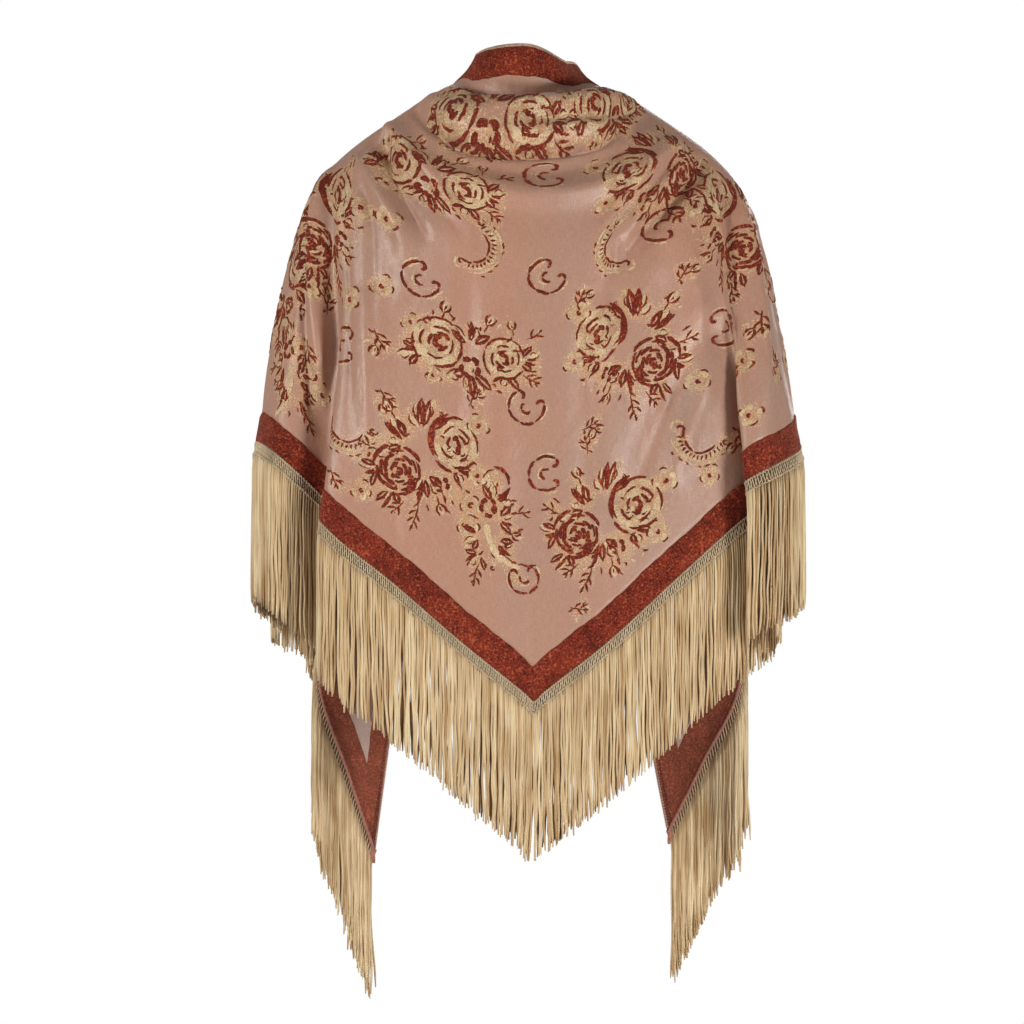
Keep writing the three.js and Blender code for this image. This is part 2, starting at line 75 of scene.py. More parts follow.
# The fringed edge as it hangs: distance along it from the back point, shoulder angle, x, y, z, sway.
HEM = np.array([
    (-1194, -168, -157, 130, -725, 0),
    (-1100, -164, -184, 117, -643, 0),
    (-996, -159, -212, 100, -550, 0),
    (-860, -150, -206, 150, -416, 0),
    (-790, -142, -222, 152, -384, 0),
    (-735, -134, -222, 112, -368, 0),
    (-680, -125, -258, 124, -352, 0),
    (-625, -114, -250, 80, -336, 0),
    (-565, -99, -269, 32, -317, 0),
    (-505, -84, -269, -26, -302, 0),
    (-435, -67, -251, -75, -311, 0),
    (-395, -60, -226, -76, -333, 0),
    (-366, -56, -204, -62, -355, 0),
    (-350, -54, -193, -64, -363, 0),
    (-328, -51, -190, -82, -372, 0),
    (-307, -48, -202, -96, -378, 0),
    (-291, -45, -200, -109, -383, 0),
    (-262, -40, -180, -114, -402, 0),
    (-200, -31, -132, -113, -440, 0),
    (-100, -19, -62, -122, -500, 0),
    (-14, -3, -4, -119, -547, 0),
    (0, 0, 5, -118, -555, 0),
    (14, 3, 15, -119, -546, 0),
    (100, 19, 76, -121, -498, 0),
    (200, 31, 147, -110, -433, 0),
    (285, 44, 207, -92, -380, 0),
    (313, 49, 232, -80, -363, 0),
    (327, 51, 233, -92, -357, 0),
    (347, 54, 214, -104, -346, 0),
    (361, 56, 213, -116, -340, 0),
    (390, 60, 239, -108, -326, 0),
    (432, 67, 264, -74, -312, 0),
    (492, 81, 268, -20, -304, 0),
    (556, 97, 267, 36, -320, 0),
    (617, 113, 248, 82, -337, 0),
    (673, 124, 256, 125, -352, 0),
    (730, 134, 221, 113, -368, 0),
    (788, 142, 223, 153, -384, 0),
    (860, 150, 210, 150, -412, 0),
    (996, 159, 216, 100, -548, 10),
    (1100, 164, 180, 117, -630, 16),
    (1194, 168, 144, 130, -705, 20),
])

# The folds that the collar makes behind the neck: drop down the cloth at the middle, out, down.
COLLAR_FOLDS = np.array([
    (-20, 0, 0),
    (30, 0, 0),
    (50, -10, 2),
    (63, -10, -3),
    (78, 7, -6),
    (91, 15, 0),
    (106, 17, 8),
    (119, 11, 13),
    (131, -4, 6),
    (148, -6, 0),
    (168, 0, 0),
    (2000, 0, 0),
])
# The top of the collar leans to the left, and its right corner is folded lower: aside, down, further
# down at the corner. The lean fades between two drops and two fall lines, and the corner grows
# between two distances to the right.
COLLAR_LEAN = (6.0, 5.0, 9.0)
LEAN_DROPS = (10, 78)
LEAN_PLACES = (80, 150)
LEAN_CORNER = (4, 72)

# Soft folds between two flat places: from s, from t, to s, to t, bow, width, height.
CREASES = np.array([
    (-95, 140, 142, 146, 38, 15, 8),
    (157, 140, 69, 250, 22, 10, 8),
    (192, 162, 89, 340, 26, 14, -10),
    (-183, 158, -129, 280, -23, 10, 7),
    (-166, 118, -60, 212, -17, 10, 8),
    (-180, 136, -98, 226, -19, 8, -7),
    (-226, 170, -268, 400, 7, 16, 8),
    (-200, 190, -232, 420, 4, 13, -5),
    (226, 185, 296, 470, 0, 14, 7),
    (189, 225, 220, 470, -24, 12, -6),
    (196, 340, 100, 530, 0, 20, -11),
    (194, 360, 146, 510, 0, 14, 9),
    (-160, 300, -177, 500, 0, 13, 7),
    (330, 60, 640, 96, 10, 16, -6),
    (300, 110, 560, 150, 14, 14, 5),
    (-320, 56, -600, 90, -12, 16, -6),
    (-310, 120, -540, 160, -12, 14, 5),
])

# Finer folds that only the thin cloth has, in the same columns.
FINE_CREASES = np.array([
    (-84, 76, 58, 40, 4, 7, -8.0),
    (-78, 90, 30, 70, 8, 7, 5.0),
    (0, 98, 120, 98, -3, 5, -6.5),
    (0, 86, 122, 82, -4, 7, 4.5),
    (-142, 90, 104, 102, 30, 6, -8.5),
    (-128, 74, 98, 84, 28, 9, 5.0),
    (-134, 116, 114, 122, 38, 10, -4.0),
    (-122, 142, 118, 146, 40, 8, 3.0),
    (-146, 128, -104, 252, -4, 6, -7.0),
    (-162, 130, -124, 254, -4, 8, 5.0),
    (-130, 150, -92, 246, -4, 8, 2.5),
    (-60, 262, -98, 470, -8, 13, -4.0),
    (-20, 300, -34, 560, 6, 18, 3.6),
    (48, 280, 58, 520, -6, 14, -4.0),
    (112, 262, 70, 420, 12, 9, 3.6),
    (-120, 240, -146, 330, -6, 6, 2.0),
    (-108, 70, -150, 150, 14, 6, 3.4),
    (108, 70, 162, 150, -14, 6, 3.2),
    (126, 84, 178, 170, -10, 6, -3.0),
    (-130, 190, -60, 236, -14, 6, -1.8),
    (-158, 524, -150, 556, 0, 5, -2.4),
    (-147, 176, -166, 442, 3, 4, -3.0),
    (-156, 190, -174, 450, 3, 6, 2.6),
    (-180, 190, -195, 452, -3, 4, -2.6),
    (-172, 240, -184, 430, 0, 4, 1.8),
    (-218, 160, -264, 424, 3, 7, 7.0),
    (-233, 172, -284, 436, 3, 8, -9.0),
    (-206, 220, -232, 440, 0, 9, -2.4),
    (188, 180, 270, 430, -6, 8, -6.5),
    (158, 250, 186, 440, -4, 11, 4.4),
    (172, 150, 120, 262, 4, 6, -4.0),
    (150, 146, 100, 250, 6, 6, 3.6),
    (212, 210, 262, 450, -4, 5, 2.8),
    (230, 206, 292, 436, -4, 7, 6.0),
    (136, 286, 150, 440, 0, 8, -2.6),
    (250, 150, 330, 330, 6, 9, -3.0),
    (-250, 140, -330, 320, -6, 9, -3.0),
    (286, 230, 372, 420, 0, 8, 3.0),
    (-292, 240, -380, 400, 0, 8, 3.4),
    (360, 200, 470, 330, 8, 9, -3.0),
    (-362, 190, -480, 330, -8, 9, -3.0),
    (420, 60, 760, 76, 6, 7, 2.4),
    (-430, 50, -770, 70, -6, 7, 2.4),
    (460, 130, 700, 140, 8, 8, -2.8),
    (-470, 126, -700, 136, -8, 8, -2.8),
    (520, 200, 640, 190, 6, 7, 2.4),
    (-520, 200, -640, 188, -6, 7, 2.4),
])

# All that is uneven is drawn from here in one order, so every run gives the same shawl.
rng = np.random.default_rng(20)


def cubic(u, span, start, end, start_slope, end_slope):
    """A cubic piece from start to end with a slope at each, where u runs from 0 to 1 over the span."""
    return (
        (1 + 2 * u) * (1 - u) ** 2 * start
        + u * u * (3 - 2 * u) * end
        + u * (1 - u) ** 2 * span * start_slope
        + u * u * (u - 1) * span * end_slope
    )


def curve_through(rows):
    """A smooth curve through the rows of a table against its first column: cubic pieces, each with the
    slope at a row that the straight line between the neighbouring rows has."""
    at, values = rows[:, 0], rows[:, 1:]
    before = np.maximum(np.arange(len(rows)) - 1, 0)
    after = np.minimum(np.arange(len(rows)) + 1, len(rows) - 1)
    slopes = (values[after] - values[before]) / (at[after] - at[before])[:, None]

    def curve(x):
        i = np.clip(np.searchsorted(at, x, side="right") - 1, 0, len(at) - 2)
        span = (at[i + 1] - at[i])[..., None]
        u = np.clip((x - at[i])[..., None] / span, 0, 1)
        return cubic(u, span, values[i], values[i + 1], slopes[i], slopes[i + 1])

    return curve


hem_at = curve_through(HEM)
collar_at = curve_through(COLLAR_FOLDS)


def smooth(low, high, x):
    """0 below low, 1 above high and a smooth step 3u^2 - 2u^3 between them."""
    u = np.clip((x - low) / (high - low), 0, 1)
    return u * u * (3 - 2 * u)


def fan_angle(place):
    """The angle at the focus of a fall line, 0 for the straight ones behind the neck."""
    return np.maximum(np.abs(place) - FALL_HALF, 0) / FALL_FOCUS


def flat_place(place, drop):
    """The flat place (s, t) that lies drop millimetres down a fall line: straight down behind the neck,
    and on a ray from the focus beyond it."""
    fan = fan_angle(place)
    s = np.minimum(np.abs(place), FALL_HALF) + (FALL_FOCUS + drop) * np.sin(fan)
    return np.sign(place) * s, (FALL_FOCUS + drop) * np.cos(fan) - FALL_FOCUS


def fall_place(s, t):
    """The fall line through a flat place and the way down it, the inverse of flat_place."""
    aside = np.abs(s) - FALL_HALF
    place = np.where(aside <= 0, np.abs(s), FALL_HALF + FALL_FOCUS * np.arctan2(aside, t + FALL_FOCUS))
    drop = np.where(aside <= 0, t, np.hypot(aside, t + FALL_FOCUS) - FALL_FOCUS)
    return np.sign(s) * place, drop


def long_edge_drop(place, inside=0.0):
    """How far down a fall line meets a line this far inside the long edge."""
    return (FALL_FOCUS + inside) / np.cos(fan_angle(place)) - FALL_FOCUS


def hem_drop(place, inside=0.0):
    """How far down a fall line meets a line this far inside the fringed edge."""
    fan = fan_angle(place)
    level = 1 + FALL_FOCUS / POINT_DROP - np.minimum(np.abs(place), FALL_HALF) / HALF_LONG_EDGE
    level = level - inside * SHORT_EDGE / (HALF_LONG_EDGE * POINT_DROP)
    return level / (np.sin(fan) / HALF_LONG_EDGE + np.cos(fan) / POINT_DROP) - FALL_FOCUS


def from_hem(s, t):
    """How far inside the fringed edges a flat place lies."""
    return (1 - np.abs(s) / HALF_LONG_EDGE - t / POINT_DROP) * HALF_LONG_EDGE * POINT_DROP / SHORT_EDGE


def along_of(place):
    """Where a fall line meets the fringed edge, as a distance from the back point."""
    return flat_place(place, hem_drop(place))[0] * SHORT_EDGE / HALF_LONG_EDGE


def place_of(along):
    """The fall line that meets the fringed edge this far from the back point."""
    share = along / SHORT_EDGE
    return fall_place(share * HALF_LONG_EDGE, POINT_DROP * (1 - np.abs(share)))[0]


def fall_point(place, drop):
    """The point on a fall line: a smooth curve in its own length through the rings and the hem, where
    the azimuth on a ring goes from the place round the neck to the shoulder angle by the ring's turn."""
    place, drop = np.broadcast_arrays(np.asarray(place, float), np.asarray(drop, float))
    hem = hem_at(along_of(place))
    neck = np.radians(place * NECK_DEGREES_PER_MM)
    shoulder = np.radians(hem[..., 0])
    knots = []
    for half_width, back, front, z_back, z_side, z_front, turn in RINGS:
        azimuth = neck + (shoulder - neck) * turn
        forward = np.cos(azimuth) < 0
        depth = np.where(forward, front, back)
        z_middle = np.where(forward, z_front, z_back)
        z = z_side + (z_middle - z_side) * np.cos(azimuth) ** 2
        knots.append(np.stack([half_width * np.sin(azimuth), -depth * np.cos(azimuth), z], -1))
    knots.append(hem[..., 1:4])
    knots = np.stack(knots, -2)
    steps = np.linalg.norm(np.diff(knots, axis=-2), axis=-1)
    lengths = np.concatenate([np.zeros_like(steps[..., :1]), np.cumsum(steps, -1)], -1)
    count = len(RINGS) + 1
    low = np.maximum(np.arange(count) - 1, 0)
    high = np.minimum(np.arange(count) + 1, count - 1)
    runs = lengths[..., high] - lengths[..., low]
    tangents = (knots[..., high, :] - knots[..., low, :]) / runs[..., None]
    total = lengths[..., -1]
    reach = hem_drop(place)
    wanted = drop / reach * total
    length = np.clip(wanted, 0, total)
    k = np.clip((length[..., None] > lengths[..., 1:-1]).sum(-1), 0, count - 2)[..., None]
    start, end = (np.take_along_axis(lengths, i, -1) for i in (k, k + 1))
    knot_a, knot_b = (np.take_along_axis(knots, i[..., None], -2)[..., 0, :] for i in (k, k + 1))
    slope_a, slope_b = (np.take_along_axis(tangents, i[..., None], -2)[..., 0, :] for i in (k, k + 1))
    span = end - start
    u = (length[..., None] - start) / span
    point = cubic(u, span, knot_a, knot_b, slope_a, slope_b)
    hang = np.clip(drop / reach, 0, 1)
    point[..., 0] -= np.sign(place) * hem[..., 4] * 4 * hang * (1 - hang)
    point += np.where(wanted > total, drop - reach, 0)[..., None] * tangents[..., -1, :]
    point += np.where(wanted < 0, wanted, 0)[..., None] * tangents[..., 0, :]
    return point


def crease_height(s, t, rows):
    """How far out the creases lift the cloth: a bell exp(-v^2) across each, level along it and fading
    as 1 - (2u - 1)^4 to its ends, where v is measured from the bowed middle line."""
    height = np.zeros(np.broadcast(s, t).shape)
    for from_s, from_t, to_s, to_t, bow, width, rise in rows:
        run_s, run_t = to_s - from_s, to_t - from_t
        length = math.hypot(run_s, run_t)
        u = np.clip(((s - from_s) * run_s + (t - from_t) * run_t) / length**2, 0, 1)
        left = ((t - from_t) * run_s - (s - from_s) * run_t) / length
        v = (left - bow * 4 * u * (1 - u)) / width
        height += rise * np.exp(-v * v) * (1 - (2 * u - 1) ** 4)
    return height


def normal_of(surface, s, t):
    """The outward normal of a surface: the cross product of its slopes down and across."""
    across = surface(s + SLOPE_STEP, t) - surface(s - SLOPE_STEP, t)
    downward = surface(s, t + SLOPE_STEP) - surface(s, t - SLOPE_STEP)
    normal = np.cross(downward, across)
    return normal / np.linalg.norm(normal, axis=-1, keepdims=True)


def base_point(s, t):
    """The cloth without the collar's folds and the creases."""
    return fall_point(*fall_place(s, t))


def cloth_point(s, t):
    """The middle of the cloth at a flat place: the base surface, moved out along its normal by the
    collar's folds and all the creases, and down where the collar's roll hangs over."""
    s, t = np.broadcast_arrays(np.asarray(s, float), np.asarray(t, float))
    point = base_point(s, t)
    place, drop = fall_place(s, t)
    place = np.abs(place)
    fade = 1 - smooth(COLLAR_FULL_PLACE, COLLAR_END_PLACE, place)
    folds = collar_at(drop + COLLAR_RISE * (place / COLLAR_END_PLACE) ** 2)
    lift = folds[..., 0] * fade + crease_height(s, t, CREASES) + crease_height(s, t, FINE_CREASES)
    point = point + normal_of(base_point, s, t) * lift[..., None]
    point[..., 2] -= folds[..., 1] * fade
    top = (1 - smooth(*LEAN_DROPS, t)) * (1 - smooth(*LEAN_PLACES, place))
    aside, down, corner = COLLAR_LEAN
    point[..., 0] -= aside * top
    point[..., 2] -= (down + corner * smooth(*LEAN_CORNER, s)) * top
    return point


def cloth_frame(s, t):
    """The point of the cloth and its outward normal at a flat place."""
    return cloth_point(s, t), normal_of(cloth_point, s, t)


def inner_tip(inset):
    """The corner at a tip of the triangle this far inside the cut, as s and as a fall line."""
    s = HALF_LONG_EDGE - inset * (HALF_LONG_EDGE + SHORT_EDGE) / POINT_DROP
    return s, float(fall_place(np.array(s), np.array(inset))[0])


# Meshes

# No path of a tube runs this way, so it can turn the rings.
TUBE_UP = (0.3, 0.9, 0.2)


def make_mesh(name, points, faces, uv=None, smooth_faces=True, slots=None):
    """An object named name from points in millimetres and faces of three or four corners, with a UV
    for each vertex and a material number for each face where given, put on its body and in the scene."""
    mesh = bpy.data.meshes.new(name)
    faces = np.asarray(faces, np.int32)
    corners = faces.shape[1]
    mesh.vertices.add(len(points))
    mesh.vertices.foreach_set("co", (np.asarray(points, float) * MM).ravel())
    mesh.loops.add(faces.size)
    mesh.loops.foreach_set("vertex_index", faces.ravel())
    mesh.polygons.add(len(faces))
    mesh.polygons.foreach_set("loop_start", np.arange(len(faces), dtype=np.int32) * corners)
    mesh.polygons.foreach_set("loop_total", np.full(len(faces), corners, np.int32))
    if uv is not None:
        layer = mesh.uv_layers.new(name="flat")
        layer.data.foreach_set("uv", np.asarray(uv, float)[faces.ravel()].ravel())
    if slots is not None:
        mesh.polygons.foreach_set("material_index", np.asarray(slots, np.int32))
    mesh.polygons.foreach_set("use_smooth", np.full(len(faces), smooth_faces))
    mesh.update(calc_edges=True)
    mesh.validate()
    piece = bpy.data.objects.new(name, mesh)
    bpy.context.collection.objects.link(piece)
    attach(piece, "root")
    return piece


def flat_uv(s, t):
    """The flat place as a UV: 2 m of cloth to the unit, the middle of the long edge at (0.5, 0)."""
    return np.stack([s * MM / 2 + 0.5, t * MM / 2], -1)


def shell(name, s, t, outside, inside, two_sided=False):
    """A closed wall over a grid of flat places, columns first: the outer face lies outside millimetres
    out along the cloth's normal, the inner one inside millimetres in, and quads close the rim."""
    columns, rows = s.shape
    point, normal = cloth_frame(s, t)
    outer = point + normal * np.broadcast_to(outside, s.shape)[..., None]
    inner = point - normal * np.broadcast_to(inside, s.shape)[..., None]
    points = np.concatenate([outer.reshape(-1, 3), inner.reshape(-1, 3)])
    at = np.arange(columns * rows).reshape(columns, rows)
    back = at + columns * rows
    a, b, c, d = at[:-1, :-1], at[:-1, 1:], at[1:, 1:], at[1:, :-1]
    front_faces = np.stack([a, b, c, d], -1).reshape(-1, 4)
    back_faces = np.stack([d, c, b, a], -1).reshape(-1, 4) + columns * rows
    rims = [
        np.stack([at[:-1, 0], at[1:, 0], back[1:, 0], back[:-1, 0]], -1),
        np.stack([at[1:, -1], at[:-1, -1], back[:-1, -1], back[1:, -1]], -1),
        np.stack([at[0, 1:], at[0, :-1], back[0, :-1], back[0, 1:]], -1),
        np.stack([at[-1, :-1], at[-1, 1:], back[-1, 1:], back[-1, :-1]], -1),
    ]
    faces = np.concatenate([front_faces, back_faces, *rims])
    slots = np.zeros(len(faces), np.int32)
    if two_sided:
        slots[len(front_faces):len(front_faces) + len(back_faces)] = 1
    uv = flat_uv(s, t).reshape(-1, 2)
    return make_mesh(name, points, faces, np.concatenate([uv, uv]), slots=slots)


def tubes(name, paths, radii, sides, slots=None):
    """Many like tubes in one mesh. paths is (tube, ring, 3) and radii (tube, ring): each ring is a
    regular polygon square to the path, and a flat cap closes the first and the last. The UV holds the
    tube's own number as a share of them all, and the way down it."""
    count, rings = paths.shape[:2]
    along = np.gradient(paths, axis=1)
    along /= np.linalg.norm(along, axis=-1, keepdims=True)
    up = np.broadcast_to(np.array(TUBE_UP), along.shape)
    across = np.cross(along, up)
    across /= np.linalg.norm(across, axis=-1, keepdims=True)
    other = np.cross(along, across)
    turn = np.arange(sides) * 2 * math.pi / sides
    offset = across[..., None, :] * np.cos(turn)[:, None] + other[..., None, :] * np.sin(turn)[:, None]
    points = (paths[..., None, :] + offset * radii[..., None, None]).reshape(-1, 3)
    at = np.arange(count * rings * sides).reshape(count, rings, sides)
    following = np.roll(at, -1, axis=2)
    walls = np.stack([at[:, :-1], following[:, :-1], following[:, 1:], at[:, 1:]], -1).reshape(-1, 4)
    corners = np.arange(1, sides - 1)
    ends = []
    for ring, order in ((at[:, 0], (0, 2, 1)), (at[:, -1], (0, 1, 2))):
        hub = np.broadcast_to(ring[:, :1], (count, sides - 2))
        fan = np.stack([hub, ring[:, corners], ring[:, corners + 1]], -1)
        ends.append(fan[..., list(order)].reshape(-1, 3))
    triangles = np.concatenate([walls[:, :3], walls[:, [0, 2, 3]], *ends])
    if slots is not None:
        slots = np.asarray(slots)
        on_walls, on_ends = np.repeat(slots, (rings - 1) * sides), np.repeat(slots, sides - 2)
        slots = np.concatenate([on_walls, on_walls, on_ends, on_ends])
    own = np.broadcast_to(np.arange(count)[:, None, None] / count, (count, rings, sides))
    down = np.broadcast_to(np.linspace(0, 1, rings)[None, :, None], (count, rings, sides))
    uv = np.stack([own, down], -1).reshape(-1, 2)
    return make_mesh(name, points, triangles, uv, slots=slots)


# Sizes and colours


def linear(red, green, blue):
    """A colour of 0 to 255 on the screen as the linear values that the shaders take."""
    screen = np.array([red, green, blue]) / 255
    values = np.where(screen <= 0.04045, screen / 12.92, ((screen + 0.055) / 1.055) ** 2.4)
    return tuple(float(v) for v in values)


def size_prop(name, description, default):
    """A length in metres for the panel."""
    return bpy.props.FloatProperty(
        name=name, description=description, default=default, unit="LENGTH", subtype="DISTANCE"
    )


def colour_prop(name, description, *screen):
    """A colour for the panel, given as it looks on the screen."""
    return bpy.props.FloatVectorProperty(
        name=name, description=description, default=linear(*screen), subtype="COLOR", min=0, max=1, size=3
    )


class ShawlSizes(bpy.types.PropertyGroup):
    border_width: size_prop("Border width", "Velvet border on all three edges", 0.030)
    cloth_thickness: size_prop("Cloth thickness", "Satin ground of the cloth", 0.0007)
    pile_height: size_prop("Pile height", "Velvet pile of the border above the satin", 0.0014)
    motif_height: size_prop("Motif height", "Pile of the flowers and scrolls above the satin", 0.00035)
    edge_wave: size_prop("Edge wave", "How far the inner edge of the border wanders", 0.0009)
    stitch_gap: size_prop("Overlock pitch", "Distance between overlock stitches on the long edge", 0.0017)
    heading_depth: size_prop("Heading depth", "Netted heading of the fringe", 0.014)
    net_gap: size_prop("Net pitch", "Distance between threads of the netted heading", 0.0026)
    strand_gap: size_prop("Strand pitch", "Distance between strands along the heading", 0.0029)
    strand_radius: size_prop("Strand radius", "Half the thickness of a strand", 0.00118)
    strand_length: size_prop("Strand length", "From the foot of the heading to the ends", 0.146)


class ShawlColours(bpy.types.PropertyGroup):
    satin: colour_prop("Satin", "Right side of the ground", 187, 136, 110)
    satin_shade: colour_prop("Satin shade", "Greyer tone in the ground", 179, 138, 117)
    satin_back: colour_prop("Satin wrong side", "Duller wrong side of the ground", 186, 158, 144)
    velvet: colour_prop("Velvet", "Pile of the border", 146, 50, 26)
    # The next two colours are painted shade deep in the pile and painted highlight on the tips of the
    # tufts.
    velvet_painted_shade: colour_prop("Velvet dark", "Depth of the pile", 78, 18, 10)
    velvet_painted_highlight: colour_prop("Velvet light", "Tips of the pile that catch the light", 196, 96, 60)
    velvet_back: colour_prop("Velvet wrong side", "Border seen from the wrong side", 150, 78, 56)
    motif: colour_prop("Motif rust", "Rust pile of the motifs", 134, 44, 26)
    gold: colour_prop("Motif gold", "Gold thread of the motifs", 226, 194, 146)
    gold_shade: colour_prop("Motif gold shade", "Ground between the gold threads", 184, 134, 92)
    thread: colour_prop("Stitch thread", "Pale thread of the overlock stitches", 224, 188, 160)
    dark_thread: colour_prop("Dark thread", "Thread of the inner hem", 84, 32, 24)
    seam: colour_prop("Rolled seam", "Thread of the rolled seam", 166, 108, 90)
    fringe: colour_prop("Fringe", "Light tone of the yarn", 240, 216, 172)
    fringe_shade: colour_prop("Fringe shade", "Deeper tone of the yarn", 182, 142, 92)
    # Painted shade: the strands behind take this dark yarn for the shade among the strands.
    fringe_painted_shade: colour_prop("Fringe depth", "Yarn of the strands behind", 84, 50, 24)
    heading: colour_prop("Heading", "Threads of the netted heading", 238, 212, 172)
    # The tape's dark brown is painted shade that shows in the gaps of the net.
    tape: colour_prop("Heading tape", "Tape that the net lies on", 104, 78, 54)


def sizes():
    """The lengths of the property group in millimetres."""
    group = bpy.context.scene.shawl_sizes
    return {name: getattr(group, name) / MM for name in ShawlSizes.__annotations__}


def colour(name):
    """A colour of the property group, with full cover."""
    return (*getattr(bpy.context.scene.shawl_colours, name), 1.0)


def shade(name, factor):
    """A colour made lighter or darker, for the ends of a blend."""
    return (*(min(1.0, v * factor) for v in colour(name)[:3]), 1.0)


# Materials

# The tints of the soft glow at grazing angles, and the painted glint laid into the gold thread's colour.
SATIN_GLOW = (1.0, 0.9, 0.84, 1.0)
PILE_GLOW = (1.0, 0.5, 0.35, 1.0)
PILE_BACK_GLOW = (1.0, 0.8, 0.7, 1.0)
YARN_GLOW = (1.0, 0.95, 0.84, 1.0)
PAINTED_GLINT = (0.98, 0.92, 0.80, 1.0)


class Shader:
    """A Principled material with short calls for the nodes that feed it."""

    def __init__(self, name, **sockets):
        self.material = bpy.data.materials.new(name)
        self.material.use_nodes = True
        self.tree = self.material.node_tree
        self.surface = self.tree.nodes["Principled BSDF"]
        for socket, value in sockets.items():
            self.surface.inputs[socket.replace("_", " ")].default_value = value

    def feed(self, socket, value):
        """Links a socket to the node that gives its value, or sets the value itself."""
        if isinstance(value, bpy.types.NodeSocket):
            self.tree.links.new(value, socket)
        else:
            socket.default_value = value

    def node(self, kind, inputs=(), **settings):
        """A new node with its settings and with its inputs fed by name."""
        made = self.tree.nodes.new("ShaderNode" + kind)
        for name, value in settings.items():
            setattr(made, name, value)
        for name, value in dict(inputs).items():
            self.feed(made.inputs[name], value)
        return made

    def put(self, name, value):
        """Feeds a socket of the surface itself."""
        self.feed(self.surface.inputs[name], value)

    def flat(self, scale):
        """The piece's own UV, stretched by scale."""
        uv = self.node("UVMap", uv_map="flat").outputs["UV"]
        return self.node("Mapping", {"Vector": uv, "Scale": scale}).outputs["Vector"]

    def solid(self, scale):
        """Object coordinates, stretched by scale."""
        place = self.node("TexCoord").outputs["Object"]
        return self.node("Mapping", {"Vector": place, "Scale": scale}).outputs["Vector"]

    def noise(self, vector, detail, roughness=0.5):
        """Cloudy noise of one patch to the unit of the vector."""
        inputs = {"Vector": vector, "Scale": 1.0, "Detail": detail, "Roughness": roughness}
        return self.node("TexNoise", inputs).outputs["Fac"]

    def ramp(self, value, low, high, out_low=0.0, out_high=1.0):
        """A straight rise from out_low at low to out_high at high."""
        reach = {"From Min": low, "From Max": high, "To Min": out_low, "To Max": out_high}
        return self.node("MapRange", {"Value": value, **reach}).outputs["Result"]

    def blend(self, factor, first, second, mode="MIX"):
        """The first colour at a factor of 0 and the second at 1."""
        made = self.node("Mix", data_type="RGBA", blend_type=mode)
        for name, value in (("Factor_Float", factor), ("A_Color", first), ("B_Color", second)):
            self.feed(next(s for s in made.inputs if s.identifier == name), value)
        return next(s for s in made.outputs if s.identifier == "Result_Color")

    def maths(self, operation, first, second):
        """The result of one arithmetic operation on two values."""
        made = self.node("Math", operation=operation)
        for socket, value in zip(made.inputs, (first, second)):
            self.feed(socket, value)
        return made.outputs[0]

    def bump(self, height, strength, distance):
        """Tips the surface's normal by a height, with a strength and a size in metres."""
        inputs = {"Height": height, "Strength": strength, "Distance": distance}
        self.put("Normal", self.node("Bump", inputs).outputs["Normal"])


def satin_material(name, main, other, roughness, sheen, gold=0.0):
    """Satin: fine threads down the cloth and across it, a slow change of tone, a soft rumple, and loose
    gold thread where the cloth's gold_net is high, as much of it as gold says."""
    made = Shader(name, Sheen_Weight=sheen, Sheen_Roughness=0.35, Specular_IOR_Level=0.6)
    made.put("Roughness", roughness)
    made.put("Sheen Tint", SATIN_GLOW)
    warp = made.noise(made.flat((2400, 260, 1)), 2)
    weft = made.noise(made.flat((420, 2400, 1)), 2)
    grain = made.maths("ADD", warp, weft)
    cloud = made.noise(made.flat((16, 6, 1)), 4, 0.6)
    tone = made.blend(made.ramp(cloud, 0.38, 0.62), main, other)
    tint = made.ramp(grain, 0.75, 1.25, 0.86, 1.08)
    grey = made.node("CombineColor", {"Red": tint, "Green": tint, "Blue": tint}).outputs["Color"]
    ground = made.blend(1.0, tone, grey, "MULTIPLY")
    cover = made.node("Attribute", attribute_name="gold_net").outputs["Fac"]
    net = made.noise(made.flat((1250, 1250, 1)), 2, 0.6)
    patch = made.noise(made.solid((70, 70, 70)), 2)
    level = made.maths("ADD", net, made.ramp(cover, 0, 1, -0.30, 0.06))
    level = made.maths("ADD", level, made.ramp(patch, 0.3, 0.7, -0.08, 0.08))
    speck = made.maths("MULTIPLY", made.ramp(level, 0.46, 0.56), gold)
    strand = made.blend(made.ramp(net, 0.50, 0.66), shade("gold_shade", 1.15), shade("gold", 1.05))
    made.put("Base Color", made.blend(speck, ground, strand))
    made.put("Roughness", made.ramp(grain, 0.75, 1.25, roughness + 0.06, roughness - 0.06))
    rumple = made.noise(made.solid((30, 30, 18)), 3, 0.5)
    crinkle = made.noise(made.solid((190, 190, 110)), 3, 0.6)
    height = made.maths("ADD", made.maths("MULTIPLY", grain, 0.14), made.maths("MULTIPLY", rumple, 1.8))
    made.bump(made.maths("ADD", height, made.maths("MULTIPLY", crinkle, 0.30)), 0.6, 0.0026)
    return made.material


